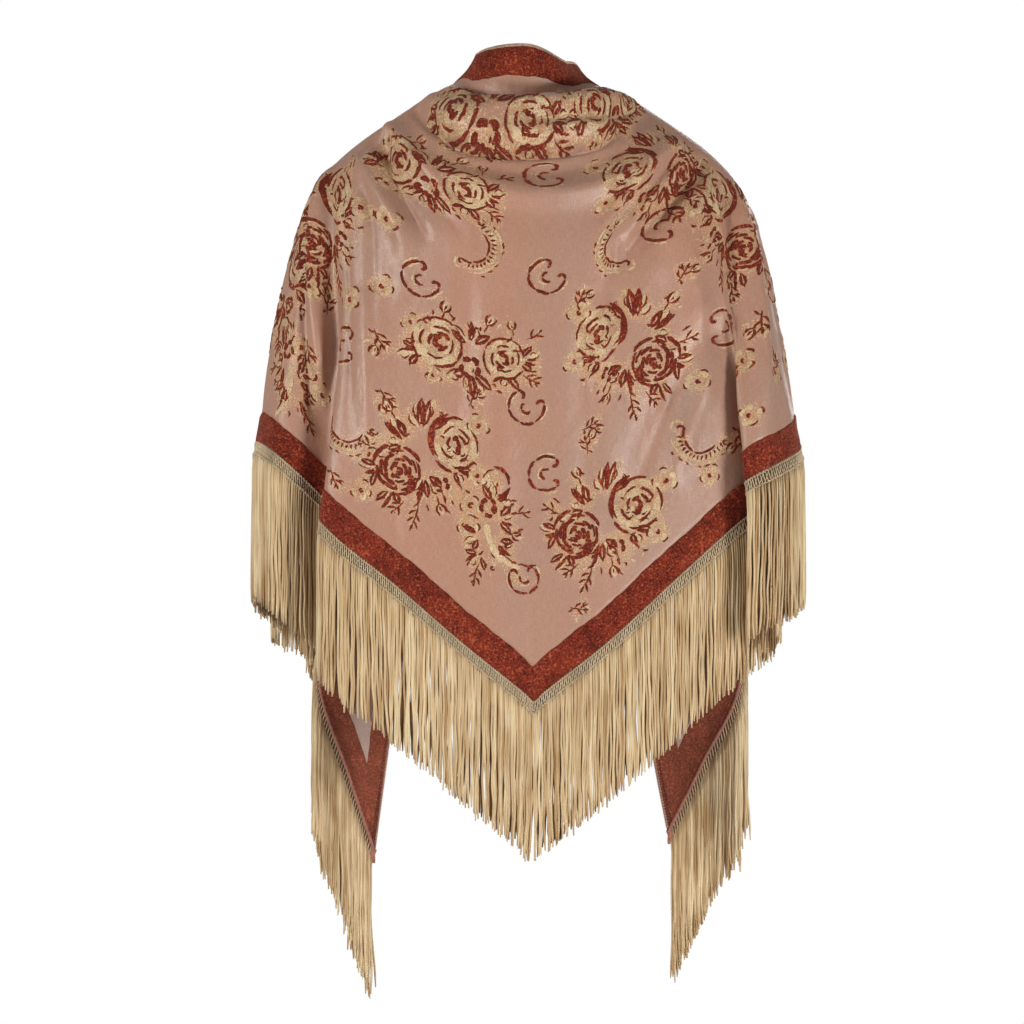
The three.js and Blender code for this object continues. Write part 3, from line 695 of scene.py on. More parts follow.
def velvet_material(name, main, dark, light, sheen, glow):
    """Velvet: short tufts that stand at changing angles, painted as dark specks of shade, plain specks
    and bright specks of highlight side by side, under a slow change from crushed pile to standing pile.
    dark and light are the colours of the painted shade and the painted highlight."""
    made = Shader(name, Roughness=0.8, Sheen_Weight=sheen, Sheen_Roughness=0.35, Specular_IOR_Level=0.25)
    made.put("Sheen Tint", glow)
    tufts = made.noise(made.solid((620, 620, 620)), 3, 0.7)
    sparks = made.noise(made.solid((430, 430, 430)), 2, 0.6)
    crush = made.noise(made.solid((46, 46, 46)), 3, 0.6)
    low = made.ramp(crush, 0.3, 0.7, 0.42, 0.54)
    depth = made.maths("SUBTRACT", tufts, low)
    # Painted shade: the dark specks where the tufts' noise lies below the crush level.
    deep = made.blend(made.ramp(depth, -0.07, 0.07), dark, main)
    catch = made.maths("SUBTRACT", sparks, low)
    # Painted highlight: the bright specks where the sparks' noise rises above the crush level.
    made.put("Base Color", made.blend(made.ramp(catch, 0.06, 0.2, 0.0, 0.85), deep, light))
    made.bump(made.maths("ADD", tufts, sparks), 0.9, 0.0022)
    return made.material


def gold_material():
    """Gold thread: a net of pale threads over a duller ground, with fine painted glints in its colour."""
    made = Shader("gold thread", Roughness=0.4, Metallic=0.2, Specular_IOR_Level=0.6)
    glints = made.noise(made.solid((900, 900, 900)), 2, 0.7)
    net = made.noise(made.flat((1300, 1300, 1)), 2, 0.6)
    wear = made.noise(made.solid((60, 60, 60)), 3)
    cover = made.maths("ADD", net, made.ramp(wear, 0.3, 0.7, -0.12, 0.12))
    tone = made.blend(made.ramp(cover, 0.38, 0.56), colour("gold_shade"), colour("gold"))
    # Painted glints: small spots where the colour turns nearly white, and the thread is smoother.
    painted_glint_share = made.ramp(glints, 0.56, 0.72)
    made.put("Base Color", made.blend(painted_glint_share, tone, PAINTED_GLINT))
    made.put("Roughness", made.ramp(glints, 0.4, 0.7, 0.55, 0.22))
    made.bump(made.maths("ADD", glints, net), 0.8, 0.0014)
    return made.material


def yarn_material(name, light, deep, twist, roughness=0.5):
    """Yarn: each strand has its own tone between two colours, with the twist as a fine bump down it."""
    made = Shader(name, Sheen_Weight=0.15, Sheen_Roughness=0.4, Specular_IOR_Level=0.5)
    made.put("Roughness", roughness)
    made.put("Sheen Tint", YARN_GLOW)
    own = made.noise(made.flat((900, 0, 1)), 1, 0.7)
    along = made.noise(made.solid((90, 90, 24)), 2)
    mixed = made.maths("ADD", made.maths("MULTIPLY", own, 0.7), made.maths("MULTIPLY", along, 0.3))
    made.put("Base Color", made.blend(made.ramp(mixed, 0.40, 0.60), deep, light))
    made.bump(made.noise(made.flat((40, twist, 1)), 1), 0.6, 0.0012)
    return made.material


def plain_thread_material(name, tone):
    """Sewing thread with a slight change of tone along it."""
    made = Shader(name, Roughness=0.6, Sheen_Weight=0.2, Specular_IOR_Level=0.35)
    along = made.noise(made.solid((400, 400, 400)), 2)
    made.put("Base Color", made.blend(made.ramp(along, 0.35, 0.65), shade(tone, 0.72), shade(tone, 1.1)))
    made.bump(along, 0.5, 0.0006)
    return made.material


def finish_piece(piece, slot, *materials, stands_for=()):
    """Gives a piece its materials and the nodes that it stands for, which it hides. The slot is not used.
    """
    for material in materials:
        piece.data.materials.append(material)
    if stands_for:
        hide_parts(*stands_for)
    return piece


# Motifs. A stroke is a middle line with a width, in the flat cloth, in millimetres. Each motif is a set
# of strokes: lines (stroke, point, 2), widths (stroke, point) and colours, 0 for rust and 1 for gold.

RUST, GOLD = 0, 1
STROKE_POINTS = 8
SHARE = np.linspace(0, 1, STROKE_POINTS)
# How far a stroke's width and its points stray, and how far it stays off the border.
STROKE_GIRTH = (0.78, 1.2)
STROKE_STRAY = 0.28
STROKE_MARGIN = 3
# A stroke in the cloth: the width from which its pile is full, its pile at the edges as a share of that
# in the middle, how far its middle is lifted off the satin and how deep its foot goes.
FULL_PILE_WIDTH = 2.4
PILE_EDGE = 0.35
MOTIF_LIFT = 0.25
MOTIF_FOOT = 2.0
# The kinds of the leaves of a spray, in turn.
LEAF_KINDS = (0, 1, 2, 0, 1)


def arc_strokes(rows):
    """Strokes on spiral arcs. A row is centre x, y, start and end radius, start and end angle in
    degrees, width and colour; the ends are rounded."""
    x, y, r0, r1, a0, a1, width, tone = np.array(rows, float).T[..., None]
    angle = np.radians(a0 + (a1 - a0) * SHARE)
    radius = r0 + (r1 - r0) * SHARE
    lines = np.stack([x + radius * np.cos(angle), y + radius * np.sin(angle)], -1)
    taper = np.clip(np.minimum(SHARE, 1 - SHARE) * 6, 0.2, 1) ** 0.6
    return lines, width * taper, tone[:, 0].astype(int)


def leaf_strokes(rows):
    """Strokes that are pointed at both ends. A row is start x, y, end x, y, bow, width and colour; the
    width is a half sine and the middle swings aside by the bow."""
    x0, y0, x1, y1, bow, width, tone = np.array(rows, float).T[..., None]
    run = np.hypot(x1 - x0, y1 - y0)
    swing = bow * 4 * SHARE * (1 - SHARE) / run
    lines = np.stack([
        x0 + (x1 - x0) * SHARE - (y1 - y0) * swing,
        y0 + (y1 - y0) * SHARE + (x1 - x0) * swing,
    ], -1)
    return lines, width * np.clip(np.sin(math.pi * SHARE), 0.12, 1) ** 0.6, tone[:, 0].astype(int)


def joined(parts):
    """The strokes of several motifs as those of one."""
    return tuple(np.concatenate([part[i] for part in parts]) for i in range(3))


def placed(motif, x, y, turn=0.0, scale=1.0, flip=1):
    """A motif moved to x, y, turned by degrees and scaled; flip of -1 mirrors it left to right."""
    lines, widths, tones = motif
    c, s = math.cos(math.radians(turn)), math.sin(math.radians(turn))
    local = lines * np.array([flip, 1.0])
    turned = np.stack([local[..., 0] * c - local[..., 1] * s, local[..., 0] * s + local[..., 1] * c], -1)
    return turned * scale + np.array([x, y]), widths * scale, tones


def petal_rings(rows):
    """Rings of broken arcs about the origin. A row is radius, number of arcs, the share of the ring
    that they fill, width, colour and first angle; every arc is a little off in place and length."""
    arcs = []
    for radius, count, fill, width, tone, first in rows:
        for k in range(count):
            reach = radius * (1 + 0.035 * rng.normal())
            start = first + 360 * k / count + 7 * rng.normal()
            spread = 360 / count * fill * rng.uniform(0.8, 1.1)
            thick = width * rng.uniform(0.75, 1.2)
            arcs.append((0.03 * rng.normal(), 0, reach, reach * 0.96, start, start + spread, thick, tone))
    return arcs


def gold_rose():
    """A full rose of radius 1: gold petals that fill it, rust lines between them and a rust heart."""
    return arc_strokes(
        petal_rings([
            (0.80, 5, 0.92, 0.36, GOLD, 10),
            (0.44, 4, 0.90, 0.34, GOLD, 40),
            (1.00, 4, 0.80, 0.12, RUST, 20),
            (0.63, 4, 0.68, 0.11, RUST, 50),
            (0.38, 3, 0.66, 0.13, RUST, 10),
        ])
        + [
            (0, 0, 0.12, 0.10, 0, 300, 0.26, GOLD),
            (0.08, 0.02, 0.06, 0.24, 20, 250, 0.20, RUST),
            (-0.10, -0.06, 0.10, 0.20, 200, 320, 0.15, RUST),
            (0.14, 0.14, 0.08, 0.12, -40, 120, 0.14, RUST),
        ]
    )


def rust_rose():
    """A full rose of radius 1: broken rust petals that wind inwards, with a little gold between."""
    return arc_strokes(
        petal_rings([
            (0.98, 5, 0.78, 0.15, RUST, 0),
            (0.90, 3, 0.40, 0.08, GOLD, 40),
            (0.80, 5, 0.74, 0.13, RUST, 34),
            (0.64, 4, 0.72, 0.14, RUST, 12),
            (0.72, 4, 0.44, 0.08, GOLD, 80),
            (0.48, 4, 0.70, 0.13, RUST, 50),
            (0.32, 3, 0.72, 0.14, RUST, 20),
            (0.40, 3, 0.40, 0.08, GOLD, 60),
        ])
        + [(0, 0, 0.22, 0.06, 40, 330, 0.15, RUST), (0.03, 0.02, 0.03, 0.10, 0, 200, 0.12, RUST)]
    )


def leaf(length, width, kind):
    """A leaf from the origin to the right: of kind 0 two rust halves on a gold vein, of kind 1 a gold
    leaf with rust edges, of kind 2 one rust stroke with a gold edge."""
    if kind == 0:
        rows = [
            (0, 0, length, 0, width * 0.27, width * 0.42, RUST),
            (0, 0, length * 0.94, 0, -width * 0.29, width * 0.36, RUST),
            (length * 0.2, 0, length * 0.8, 0, 0.0, width * 0.16, GOLD),
        ]
    elif kind == 1:
        rows = [
            (0, 0, length, 0, 0, width * 0.78, GOLD),
            (length * 0.1, 0, length, 0, width * 0.44, width * 0.22, RUST),
            (length * 0.3, 0, length * 0.86, 0, -width * 0.48, width * 0.2, RUST),
        ]
    else:
        rows = [
            (0, 0, length, 0, width * 0.1, width * 0.5, RUST),
            (0, width * 0.2, length * 0.9, width * 0.3, width * 0.3, width * 0.22, GOLD),
        ]
    return leaf_strokes(rows)


def spray(count, reach, start, spread, width):
    """Leaves that fan out from the origin, their kinds in turn and their lengths and turns uneven."""
    parts = []
    for k in range(count):
        turn = start + spread * k / max(count - 1, 1) + 6 * rng.normal()
        length = reach * rng.uniform(0.6, 1.0)
        inner = 0.22 * reach
        bearing = math.radians(turn)
        x, y = inner * math.cos(bearing), inner * math.sin(bearing)
        made = leaf(length - inner, width * rng.uniform(0.85, 1.15), LEAF_KINDS[k % len(LEAF_KINDS)])
        parts.append(placed(made, x, y, turn + 12 * rng.normal()))
    return joined(parts)


def flecks(count, half_width, half_height, reach, gold_share):
    """Short pointed strokes strewn over an ellipse, each pointing roughly away from its middle."""
    angle = rng.uniform(0, 2 * math.pi, count)
    ring = np.sqrt(rng.uniform(0.12, 1.0, count))
    x, y = half_width * ring * np.cos(angle), half_height * ring * np.sin(angle)
    turn = angle + rng.normal(0, 0.7, count)
    length = reach * rng.uniform(0.6, 1.3, count)
    ends = x + length * np.cos(turn), y + length * np.sin(turn)
    tone = rng.random(count) < gold_share
    bow, width = rng.normal(0, 0.8, count), rng.uniform(1.6, 3.1, count)
    return leaf_strokes(np.stack([x, y, *ends, bow, width, tone], -1))


def twig(length, pairs):
    """A thin bowed stem to the right with small pointed leaves on both sides and one at its end."""
    rows = [
        (0, 0, length, 0, length * 0.06, 1.6, RUST),
        (length * 0.9, 0, length * 1.25, 0, 0, 2.6, RUST),
    ]
    for k in range(pairs):
        foot = length * (0.3 + 0.62 * k / max(pairs, 1))
        side = 1 if k % 2 else -1
        rows.append((foot, 0, foot + 7.0, side * 6.5, side * 0.8, 2.4, RUST))
        rows.append((foot + 3, 0, foot + 8.0, -side * 4.2, 0, 1.7, GOLD if k % 2 else RUST))
    return leaf_strokes(rows)


def small_flower(radius, petal_tone=GOLD):
    """Five round petals with marks of the other colour on three of them and a heart of it."""
    mark = RUST if petal_tone == GOLD else GOLD
    rows = []
    for k in range(5):
        angle = 72 * k + 15 + 8 * rng.normal()
        reach = radius * rng.uniform(0.48, 0.64)
        x, y = reach * math.cos(math.radians(angle)), reach * math.sin(math.radians(angle))
        petal = (radius * 0.16, radius * 0.20, angle - 100, angle + 130, radius * 0.42, petal_tone)
        rows.append((x, y, *petal))
        if k % 2 == 0:
            edge = (radius * 0.38, radius * 0.36, angle - 60, angle + 40, radius * 0.16, mark)
            rows.append((x * 1.15, y * 1.15, *edge))
    rows.append((0, 0, radius * 0.10, radius * 0.16, 0, 290, radius * 0.24, mark))
    return arc_strokes(rows)


def bud(size):
    """A bud that opens to the right: gold inside, three rust sepals and a short stem."""
    return leaf_strokes([
        (0, 0, size, 0, 0, size * 0.5, GOLD),
        (0, 0, size * 0.9, size * 0.34, size * 0.2, size * 0.24, RUST),
        (0, 0, size * 0.95, -size * 0.30, -size * 0.2, size * 0.24, RUST),
        (size * 0.1, 0, size * 0.75, 0, 0, size * 0.2, RUST),
        (-size * 0.7, size * 0.1, size * 0.1, 0, 0.5, size * 0.14, RUST),
    ])


def hook(radius, angle, curl, turn, width, tone):
    """An arc that rolls in from the end of a circle about the origin, at an angle on it."""
    reach = radius - curl
    x, y = reach * math.cos(math.radians(angle)), reach * math.sin(math.radians(angle))
    return (x, y, curl, curl * 0.6, angle, angle + turn, width, tone)


def c_scroll():
    """A C-shaped scroll: a broken rust arc that rolls in at both ends, a comma inside, gold shadows."""
    return arc_strokes([
        (0, 0, 18, 18.5, 56, 122, 2.9, RUST),
        (0, 0, 18.5, 18, 125, 170, 3.5, RUST),
        (0, 0, 18, 18.5, 173, 230, 3.0, RUST),
        (0, 0, 18.5, 18, 233, 300, 3.3, RUST),
        hook(18, 302, 5.5, 165, 3.6, RUST),
        hook(18, 54, 4.6, -170, 3.4, RUST),
        (0, 1, 5.6, 6.2, 110, 210, 3.0, RUST),
        (0, 1, 6.2, 4.8, 215, 300, 2.6, RUST),
        (1.4, 0, 20.6, 20.6, 232, 292, 2.2, GOLD),
        (0.8, 0, 20.8, 20.6, 60, 112, 2.4, GOLD),
        (0, 0, 15.6, 15.2, 250, 300, 2.0, GOLD),
        (-0.6, 0.4, 8.4, 8.6, 130, 250, 1.8, GOLD),
    ])


def comb_scroll():
    """A curved plume: a gold band with a row of short rust ticks, dotted outlines and rolled ends."""
    ticks = []
    for k in range(14):
        angle = math.radians(-62 + 11 * k)
        inner, outer = 24.5 - 0.25 * k, 30.5 - 0.40 * k
        ticks.append((
            inner * math.cos(angle), inner * math.sin(angle),
            outer * math.cos(angle + 0.06), outer * math.sin(angle + 0.06), 0.3, 2.5, RUST,
        ))
    bars = arc_strokes([
        (0, 0, 28.0, 27.0, -66, -14, 6.0, GOLD),
        (0, 0, 27.0, 25.8, -12, 44, 5.4, GOLD),
        (0, 0, 25.8, 23.6, 46, 92, 4.4, GOLD),
        (0, 0, 34.5, 33.0, -74, 0, 2.2, GOLD),
        (0, 0, 33.0, 29.5, 2, 86, 2.0, GOLD),
        (0, 0, 21.6, 20.4, -50, 20, 2.2, RUST),
        (0, 0, 20.4, 19.0, 24, 70, 2.8, RUST),
        (0, 0, 19.4, 19.0, 74, 112, 2.4, RUST),
        (-9.5, 22.5, 6.4, 3.0, 60, 260, 3.2, GOLD),
        (-6.5, 20.8, 2.6, 1.6, 90, 270, 2.4, RUST),
        (10.5, -29.5, 7.0, 4.0, -50, 190, 3.4, GOLD),
        (11.0, -27.5, 3.0, 1.6, -20, 230, 2.6, RUST),
    ])
    dots = petal_rings([(35.6, 22, 0.42, 1.4, RUST, 0)])
    dots = [row for row in dots if -70 < (row[4] + 180) % 360 - 180 < 62]
    return joined([leaf_strokes(ticks), bars, arc_strokes(dots)])


def pair_of_roses():
    """Two gold roses with a rust flower and leaves between them, buds above and twigs at the ends."""
    return joined([
        placed(gold_rose(), -36, 2, 20, 27),
        placed(gold_rose(), 40, 4, 190, 23),
        placed(small_flower(15, RUST), 2, 20),
        placed(spray(6, 30, -160, 130, 10), 2, -4),
        placed(spray(7, 36, 30, 120, 10), 2, 20),
        placed(spray(5, 26, 130, 100, 9), -54, 14),
        placed(spray(4, 24, -50, 110, 8), 56, 2),
        placed(spray(3, 22, 60, 80, 8), 44, 20),
        placed(bud(13), -32, -30, -70),
        placed(bud(13), 20, -30, -60),
        placed(bud(10), 46, -28, -100),
        placed(small_flower(10), -64, -14),
        placed(small_flower(9), -40, 38),
        placed(flecks(64, 76, 40, 7, 0.45), 0, 4),
        placed(twig(16, 3), 60, 18, 30),
        placed(twig(14, 2), 62, -20, -35),
    ])


def tall_roses():
    """A gold rose above a rust one, leaves between and around them, and bare twigs hanging below."""
    return joined([
        placed(gold_rose(), -27, -20, 60, 27),
        placed(rust_rose(), 32, 20, 10, 25),
        arc_strokes([(-27, -20, 31, 29, -62, 38, 4.4, RUST), (-27, -20, 30, 31, 46, 84, 3.2, RUST)]),
        placed(spray(7, 38, -130, 90, 9), 10, -22),
        placed(spray(6, 32, -75, 90, 9), 26, -8),
        placed(spray(5, 26, 110, 100, 9), -26, 6),
        placed(spray(6, 34, 60, 100, 10), 6, 18),
        placed(spray(4, 22, -30, 90, 8), 52, 22),
        placed(spray(4, 24, 50, 80, 8), 38, 40),
        placed(small_flower(12), -50, -46),
        placed(small_flower(12), -54, 6),
        placed(small_flower(10, RUST), -14, 26),
        placed(bud(12), -14, 46, 120),
        placed(bud(12), 44, -38, -50),
        placed(flecks(76, 60, 54, 7, 0.4), 4, 0),
        placed(twig(24, 4), 8, 50, 78),
        placed(twig(16, 3), 24, 50, 50),
        placed(twig(13, 2), 60, 2, -20),
    ])


def plume_spray():
    """A tall spray: a rolled gold leaf at the top, flowers down its sides and a long gold tail."""
    return joined([
        arc_strokes([
            (14, -52, 10, 11, 150, 290, 6.5, GOLD),
            (14, -52, 15, 14, 190, 262, 1.8, RUST),
            (12, -54, 15, 16, 270, 372, 3.4, RUST),
            (52, -4, 50, 48, 186, 158, 8.0, GOLD),
            (52, -4, 49, 46, 160, 132, 8.5, GOLD),
            (52, -4, 46, 44, 134, 108, 6.0, GOLD),
            (52, -4, 42, 41, 150, 118, 1.8, RUST),
            (52, -4, 40, 38, 112, 84, 2.4, RUST),
        ]),
        placed(spray(5, 30, -110, 80, 8), 12, -28),
        placed(spray(4, 26, -40, 90, 8), 14, -14),
        placed(spray(4, 24, -10, 80, 8), 12, 10),
        placed(spray(4, 24, 130, 100, 8), -6, 4),
        placed(spray(4, 22, 90, 90, 7), -6, 22),
        placed(small_flower(12, RUST), 4, -26),
        placed(small_flower(13), -16, -26),
        placed(small_flower(13), -20, -4),
        placed(bud(11), 30, 2, 20),
        placed(flecks(48, 34, 50, 6, 0.55), 4, -4),
        placed(twig(20, 3), -8, 34, 108),
        placed(twig(14, 2), 34, -20, -10),
    ])


def sprig():
    """A twig with a bud beside its end and a few flecks."""
    return joined([twig(18, 3), placed(bud(11), 16, 6, 40), placed(flecks(5, 12, 9, 6, 0.5), 12, 2)])


MOTIFS = {
    "pair": pair_of_roses,
    "tall": tall_roses,
    "plume": plume_spray,
    "comb": comb_scroll,
    "scroll": c_scroll,
    "flower": lambda: small_flower(12),
    "sprig": sprig,
}

# Where the motifs lie on the back of the shawl: kind, s, t, turn, scale, flip.
LAYOUT = [
    ("pair", -64, 352, 4, 0.98, 1),
    ("tall", 100, 358, 0, 1.0, 1),
    ("tall", -112, 470, 8, 1.0, -1),
    ("plume", -52, 542, 0, 1.0, 1),
    ("tall", 84, 534, 14, 1.0, -1),
    ("pair", -84, 168, 16, 0.9, 1),
    ("tall", 112, 176, -20, 0.9, 1),
    ("pair", -34, 92, 4, 0.92, 1),
    ("pair", 84, 84, -6, 0.72, 1),
    ("tall", 212, 236, 20, 0.98, 1),
    ("tall", -212, 232, -16, 0.98, -1),
    ("scroll", 14, 158, -10, 0.95, 1),
    ("scroll", -112, 288, -30, 1.0, 1),
    ("scroll", 18, 270, -40, 1.0, 1),
    ("scroll", -4, 408, -60, 1.0, 1),
    ("scroll", 16, 480, 0, 1.0, 1),
    ("scroll", -196, 362, 10, 1.0, 1),
    ("scroll", 134, 236, 20, 1.0, 1),
    ("scroll", 200, 350, 170, 1.0, 1),
    ("comb", -58, 240, 10, 1.0, 1),
    ("comb", 98, 252, 0, 0.95, -1),
    ("comb", 180, 456, 90, 1.0, 1),
    ("comb", -198, 440, 84, 1.0, 1),
    ("flower", -150, 300, 0, 1.0, 1),
    ("flower", -134, 232, 40, 1.05, 1),
    ("flower", 176, 404, 0, 0.95, 1),
    ("sprig", 46, 306, -60, 0.9, 1),
    ("sprig", -66, 412, -70, 0.9, 1),
    ("sprig", 54, 436, -20, 0.9, 1),
    ("sprig", 60, 462, -100, 0.9, 1),
    ("sprig", -160, 404, 60, 0.9, 1),
    ("sprig", 150, 300, -60, 0.9, 1),
    ("flower", -186, 508, 0, 0.9, 1),
    ("sprig", 40, 622, 10, 0.9, 1),
    ("scroll", -10, 590, -100, 0.9, 1),
    ("sprig", 262, 330, 80, 1.1, 1),
    ("flower", 254, 382, 0, 1.1, 1),
    ("sprig", 250, 408, 60, 1.1, -1),
    ("flower", 274, 438, 30, 1.0, 1),
    ("sprig", 296, 386, 100, 1.0, -1),
    ("flower", 280, 292, 10, 1.0, 1),
    ("sprig", 226, 300, 70, 1.0, 1),
    ("flower", 192, 500, 0, 0.9, 1),
    ("sprig", 220, 452, 80, 1.0, 1),
    ("sprig", -268, 352, 96, 1.1, 1),
    ("flower", -262, 404, 0, 1.0, 1),
    ("flower", -184, 316, 20, 1.15, 1),
    ("sprig", -160, 344, 70, 1.0, 1),
    ("sprig", -232, 326, 110, 1.0, -1),
    ("sprig", -218, 488, 70, 1.0, 1),
]
# On the arms and tails the motifs stand in half-dropped rows: the first place, the steps and the counts
# along the long edge and down, the kinds in turn, and half the breadth of each.
ROW_START = (298, 74)
ROW_STEP = (92, 104)
ROW_COUNTS = (8, 5)
ROW_KINDS = ("tall", "scroll", "pair", "comb", "tall", "scroll", "plume", "flower")
MOTIF_REACH = {"pair": 74, "tall": 74, "plume": 66, "comb": 38, "scroll": 22, "flower": 13}
# The border takes this much room, a large motif needs this share of its reach, and the small ones this.
ROW_MARGIN = 30
LARGE_SHARE = 0.5
SCROLL_ROOM = 20
FLOWER_ROOM = 12
# The loose gold thread round the motifs: its cells, its reach and the sum that covers the ground.
NET_CELL = 4.0
NET_REACH = 7.0
NET_FULL = 46.0


def arm_layout():
    """The motifs of the arms and tails: rows along the cloth, every other one shifted by half a step,
    kinds in turn, each kept where the border leaves room for it."""
    rows = []
    for side, i, j in itertools.product((-1, 1), *map(range, ROW_COUNTS)):
        s = ROW_START[0] + ROW_STEP[0] * i
        t = ROW_START[1] + ROW_STEP[1] * (j + 0.5 * (i % 2))
        kind = ROW_KINDS[(3 * i + 2 * j + (side > 0)) % len(ROW_KINDS)]
        room = min(t, from_hem(s, t)) - ROW_MARGIN
        if room < MOTIF_REACH[kind] * LARGE_SHARE:
            kind = "scroll" if room > SCROLL_ROOM else "flower"
        if room > FLOWER_ROOM:
            turn = (47 * i + 83 * j) % 360 if kind in ("comb", "scroll") else 18 * math.sin(2 * i + j)
            rows.append((kind, side * s, t, turn, 1.0, side))
    return rows


def layout_strokes(rows):
    """The strokes of a layout that fall inside the border, with edges that wander a little as a
    burnt-out pile does."""
    made = {kind: draw() for kind, draw in MOTIFS.items()}
    lines, widths, tones = joined([placed(made[kind], *rest) for kind, *rest in rows])
    widths = widths * rng.uniform(*STROKE_GIRTH, widths.shape)
    lines = lines + rng.normal(0, STROKE_STRAY, lines.shape)
    s, t = lines.transpose(2, 0, 1)
    inside = np.minimum(t, from_hem(s, t)).min(1)
    keep = inside > sizes()["border_width"] + STROKE_MARGIN
    return lines[keep], widths[keep], tones[keep]


@functools.cache
def motif_strokes():
    """The strokes of the back and those of the arms, drawn once."""
    return {"back": layout_strokes(LAYOUT), "arms": layout_strokes(arm_layout())}


def gold_cover(s, t):
    """How much loose gold thread lies in the ground at flat places, 0 to 1: the widths of all strokes
    summed in cells, spread by a bell exp(-(d/reach)^2) both ways and read back between the cells."""
    starts, ends = (-HALF_LONG_EDGE, 0), (HALF_LONG_EDGE, POINT_DROP)
    cells = [np.arange(start, end + NET_CELL, NET_CELL) for start, end in zip(starts, ends)]
    last = np.array([len(places) - 1 for places in cells])
    sums = np.zeros(last + 1)
    for lines, widths, _ in motif_strokes().values():
        at = np.clip(((lines - starts) / NET_CELL).round().astype(int), 0, last)
        np.add.at(sums, (at[..., 0], at[..., 1]), widths)
    for k, places in enumerate(cells):
        bell = np.exp(-(((places[:, None] - places) / NET_REACH) ** 2))
        sums = np.moveaxis(np.tensordot(bell, sums, (1, k)), 0, k)
    cover = np.clip(sums / NET_FULL, 0, 1)
    place = np.clip((np.stack([s, t], -1) - starts) / NET_CELL, 0, last - 0.001)
    i, j = place.astype(int).transpose(2, 0, 1)
    u, v = (place % 1).transpose(2, 0, 1)
    low = cover[i, j] * (1 - v) + cover[i, j + 1] * v
    return low * (1 - u) + (cover[i + 1, j] * (1 - v) + cover[i + 1, j + 1] * v) * u


def stroke_mesh(name, lines, widths, height, lift):
    """Strokes as closed spindles in the cloth: across each point of the middle line lie a left edge, a
    raised middle and a right edge above the cloth and a foot that comes out on its wrong side, where the
    faces take the second material."""
    along = np.gradient(lines, axis=1)
    along /= np.linalg.norm(along, axis=-1, keepdims=True)
    left = np.stack([-along[..., 1], along[..., 0]], -1)
    edges = widths[..., None] / 2 * left
    places = np.stack([lines + edges, lines, lines - edges, lines], 2)
    crown = height * np.clip(widths / FULL_PILE_WIDTH, 0.5, 1.0)
    edge, foot = crown * PILE_EDGE, np.full_like(crown, -MOTIF_FOOT)
    heights = np.stack([edge, crown, edge, foot], -1) + lift
    point, normal = cloth_frame(places[..., 0], places[..., 1])
    points = (point + normal * heights[..., None]).reshape(-1, 3)
    count = len(lines)
    at = np.arange(count * STROKE_POINTS * 4).reshape(count, STROKE_POINTS, 4)
    following = np.roll(at, -1, axis=2)
    walls = np.stack([at[:, :-1], at[:, 1:], following[:, 1:], following[:, :-1]], -1).reshape(-1, 4)
    ends = np.concatenate([at[:, 0], at[:, -1, ::-1]])
    slots = np.concatenate([np.tile([0, 0, 1, 1], len(walls) // 4), np.zeros(len(ends), int)])
    uv = flat_uv(places[..., 0], places[..., 1]).reshape(-1, 2)
    return make_mesh(name, points, np.concatenate([walls, ends]), uv, False, slots)


# Pieces

# The satin's grid, and how much closer together its rows lie at the neck. It runs a little under the
# border, and a column is never shorter than the least run.
SATIN_COLUMNS = 424
SATIN_ROWS = 112
ROW_POWER = 1.7
SATIN_UNDERLAP = 3.0
LEAST_RUN = 0.01
# Across the border: share of its width from the inner edge, share of the pile's height on the right
# side, and how much thicker it is on the wrong side, where the hem is turned in.
PILE_PROFILE = np.array([
    (0, 0.1, 0.1),
    (0.03, 0.62, 0.3),
    (0.10, 1.0, 0.35),
    (0.5, 0.94, 0.35),
    (0.80, 1.0, 0.35),
    (0.83, 1.0, 1.1),
    (0.97, 0.7, 1.2),
    (1, 0.2, 0.6),
])
# The fringed edges are sewn this far to each side of the back point.
EDGE_ALONG = 1190.0
# How much wider the border lies at the back of the collar, and how far to each side.
COLLAR_BORDER = (5.0, 70.0)
# Columns of the neck border: half the stretch behind the neck, and the counts there, along an arm and
# at a tip. Those of a side border, and where its inner edge starts to wander.
NECK_STRETCH = 200
NECK_COLUMNS = (260, 230, 24)
SIDE_COLUMNS = 470
SIDE_WAVE_START = 400
# The waves of a border's inner edge fade out this near to a corner. At a tip the neck border keeps this
# much width, and it ends this far short of the cut's own tip.
STRAIGHT_END = 30
TIP_WIDTH = 0.2
TIP_GAP = 2


def border_inset(distance, width, wave):
    """The border's width at a distance along an edge: its measure plus two slow waves and a fine one."""
    wander = np.sin(distance / 17.0) + 0.7 * np.sin(distance / 7.3 + 1.2) + 0.4 * np.sin(distance / 2.9)
    return width + wave * wander / 1.5


def satin_inset(size):
    """How far inside the cut the satin's own edge lies."""
    return size["border_width"] - SATIN_UNDERLAP


def satin_cloth(size):
    """The satin inside the border: columns on fall lines, rows closer together near the neck by a power
    of their share of the way down. It holds how much gold thread lies in it as gold_net."""
    inset = satin_inset(size)
    tip = inner_tip(inset)[1]
    places = place_of(np.linspace(-EDGE_ALONG, EDGE_ALONG, SATIN_COLUMNS))
    places = np.unique(np.clip(places, -tip, tip))
    top = long_edge_drop(places, inset)
    foot = np.maximum(hem_drop(places, inset), top + LEAST_RUN)
    share = np.linspace(0, 1, SATIN_ROWS) ** ROW_POWER
    s, t = flat_place(places[:, None], top[:, None] + (foot - top)[:, None] * share)
    half = size["cloth_thickness"] / 2
    piece = shell("satin_cloth", s, t, half, half, two_sided=True)
    net = piece.data.attributes.new("gold_net", "FLOAT", "POINT")
    net.data.foreach_set("value", np.tile(gold_cover(s, t).ravel(), 2))
    return piece


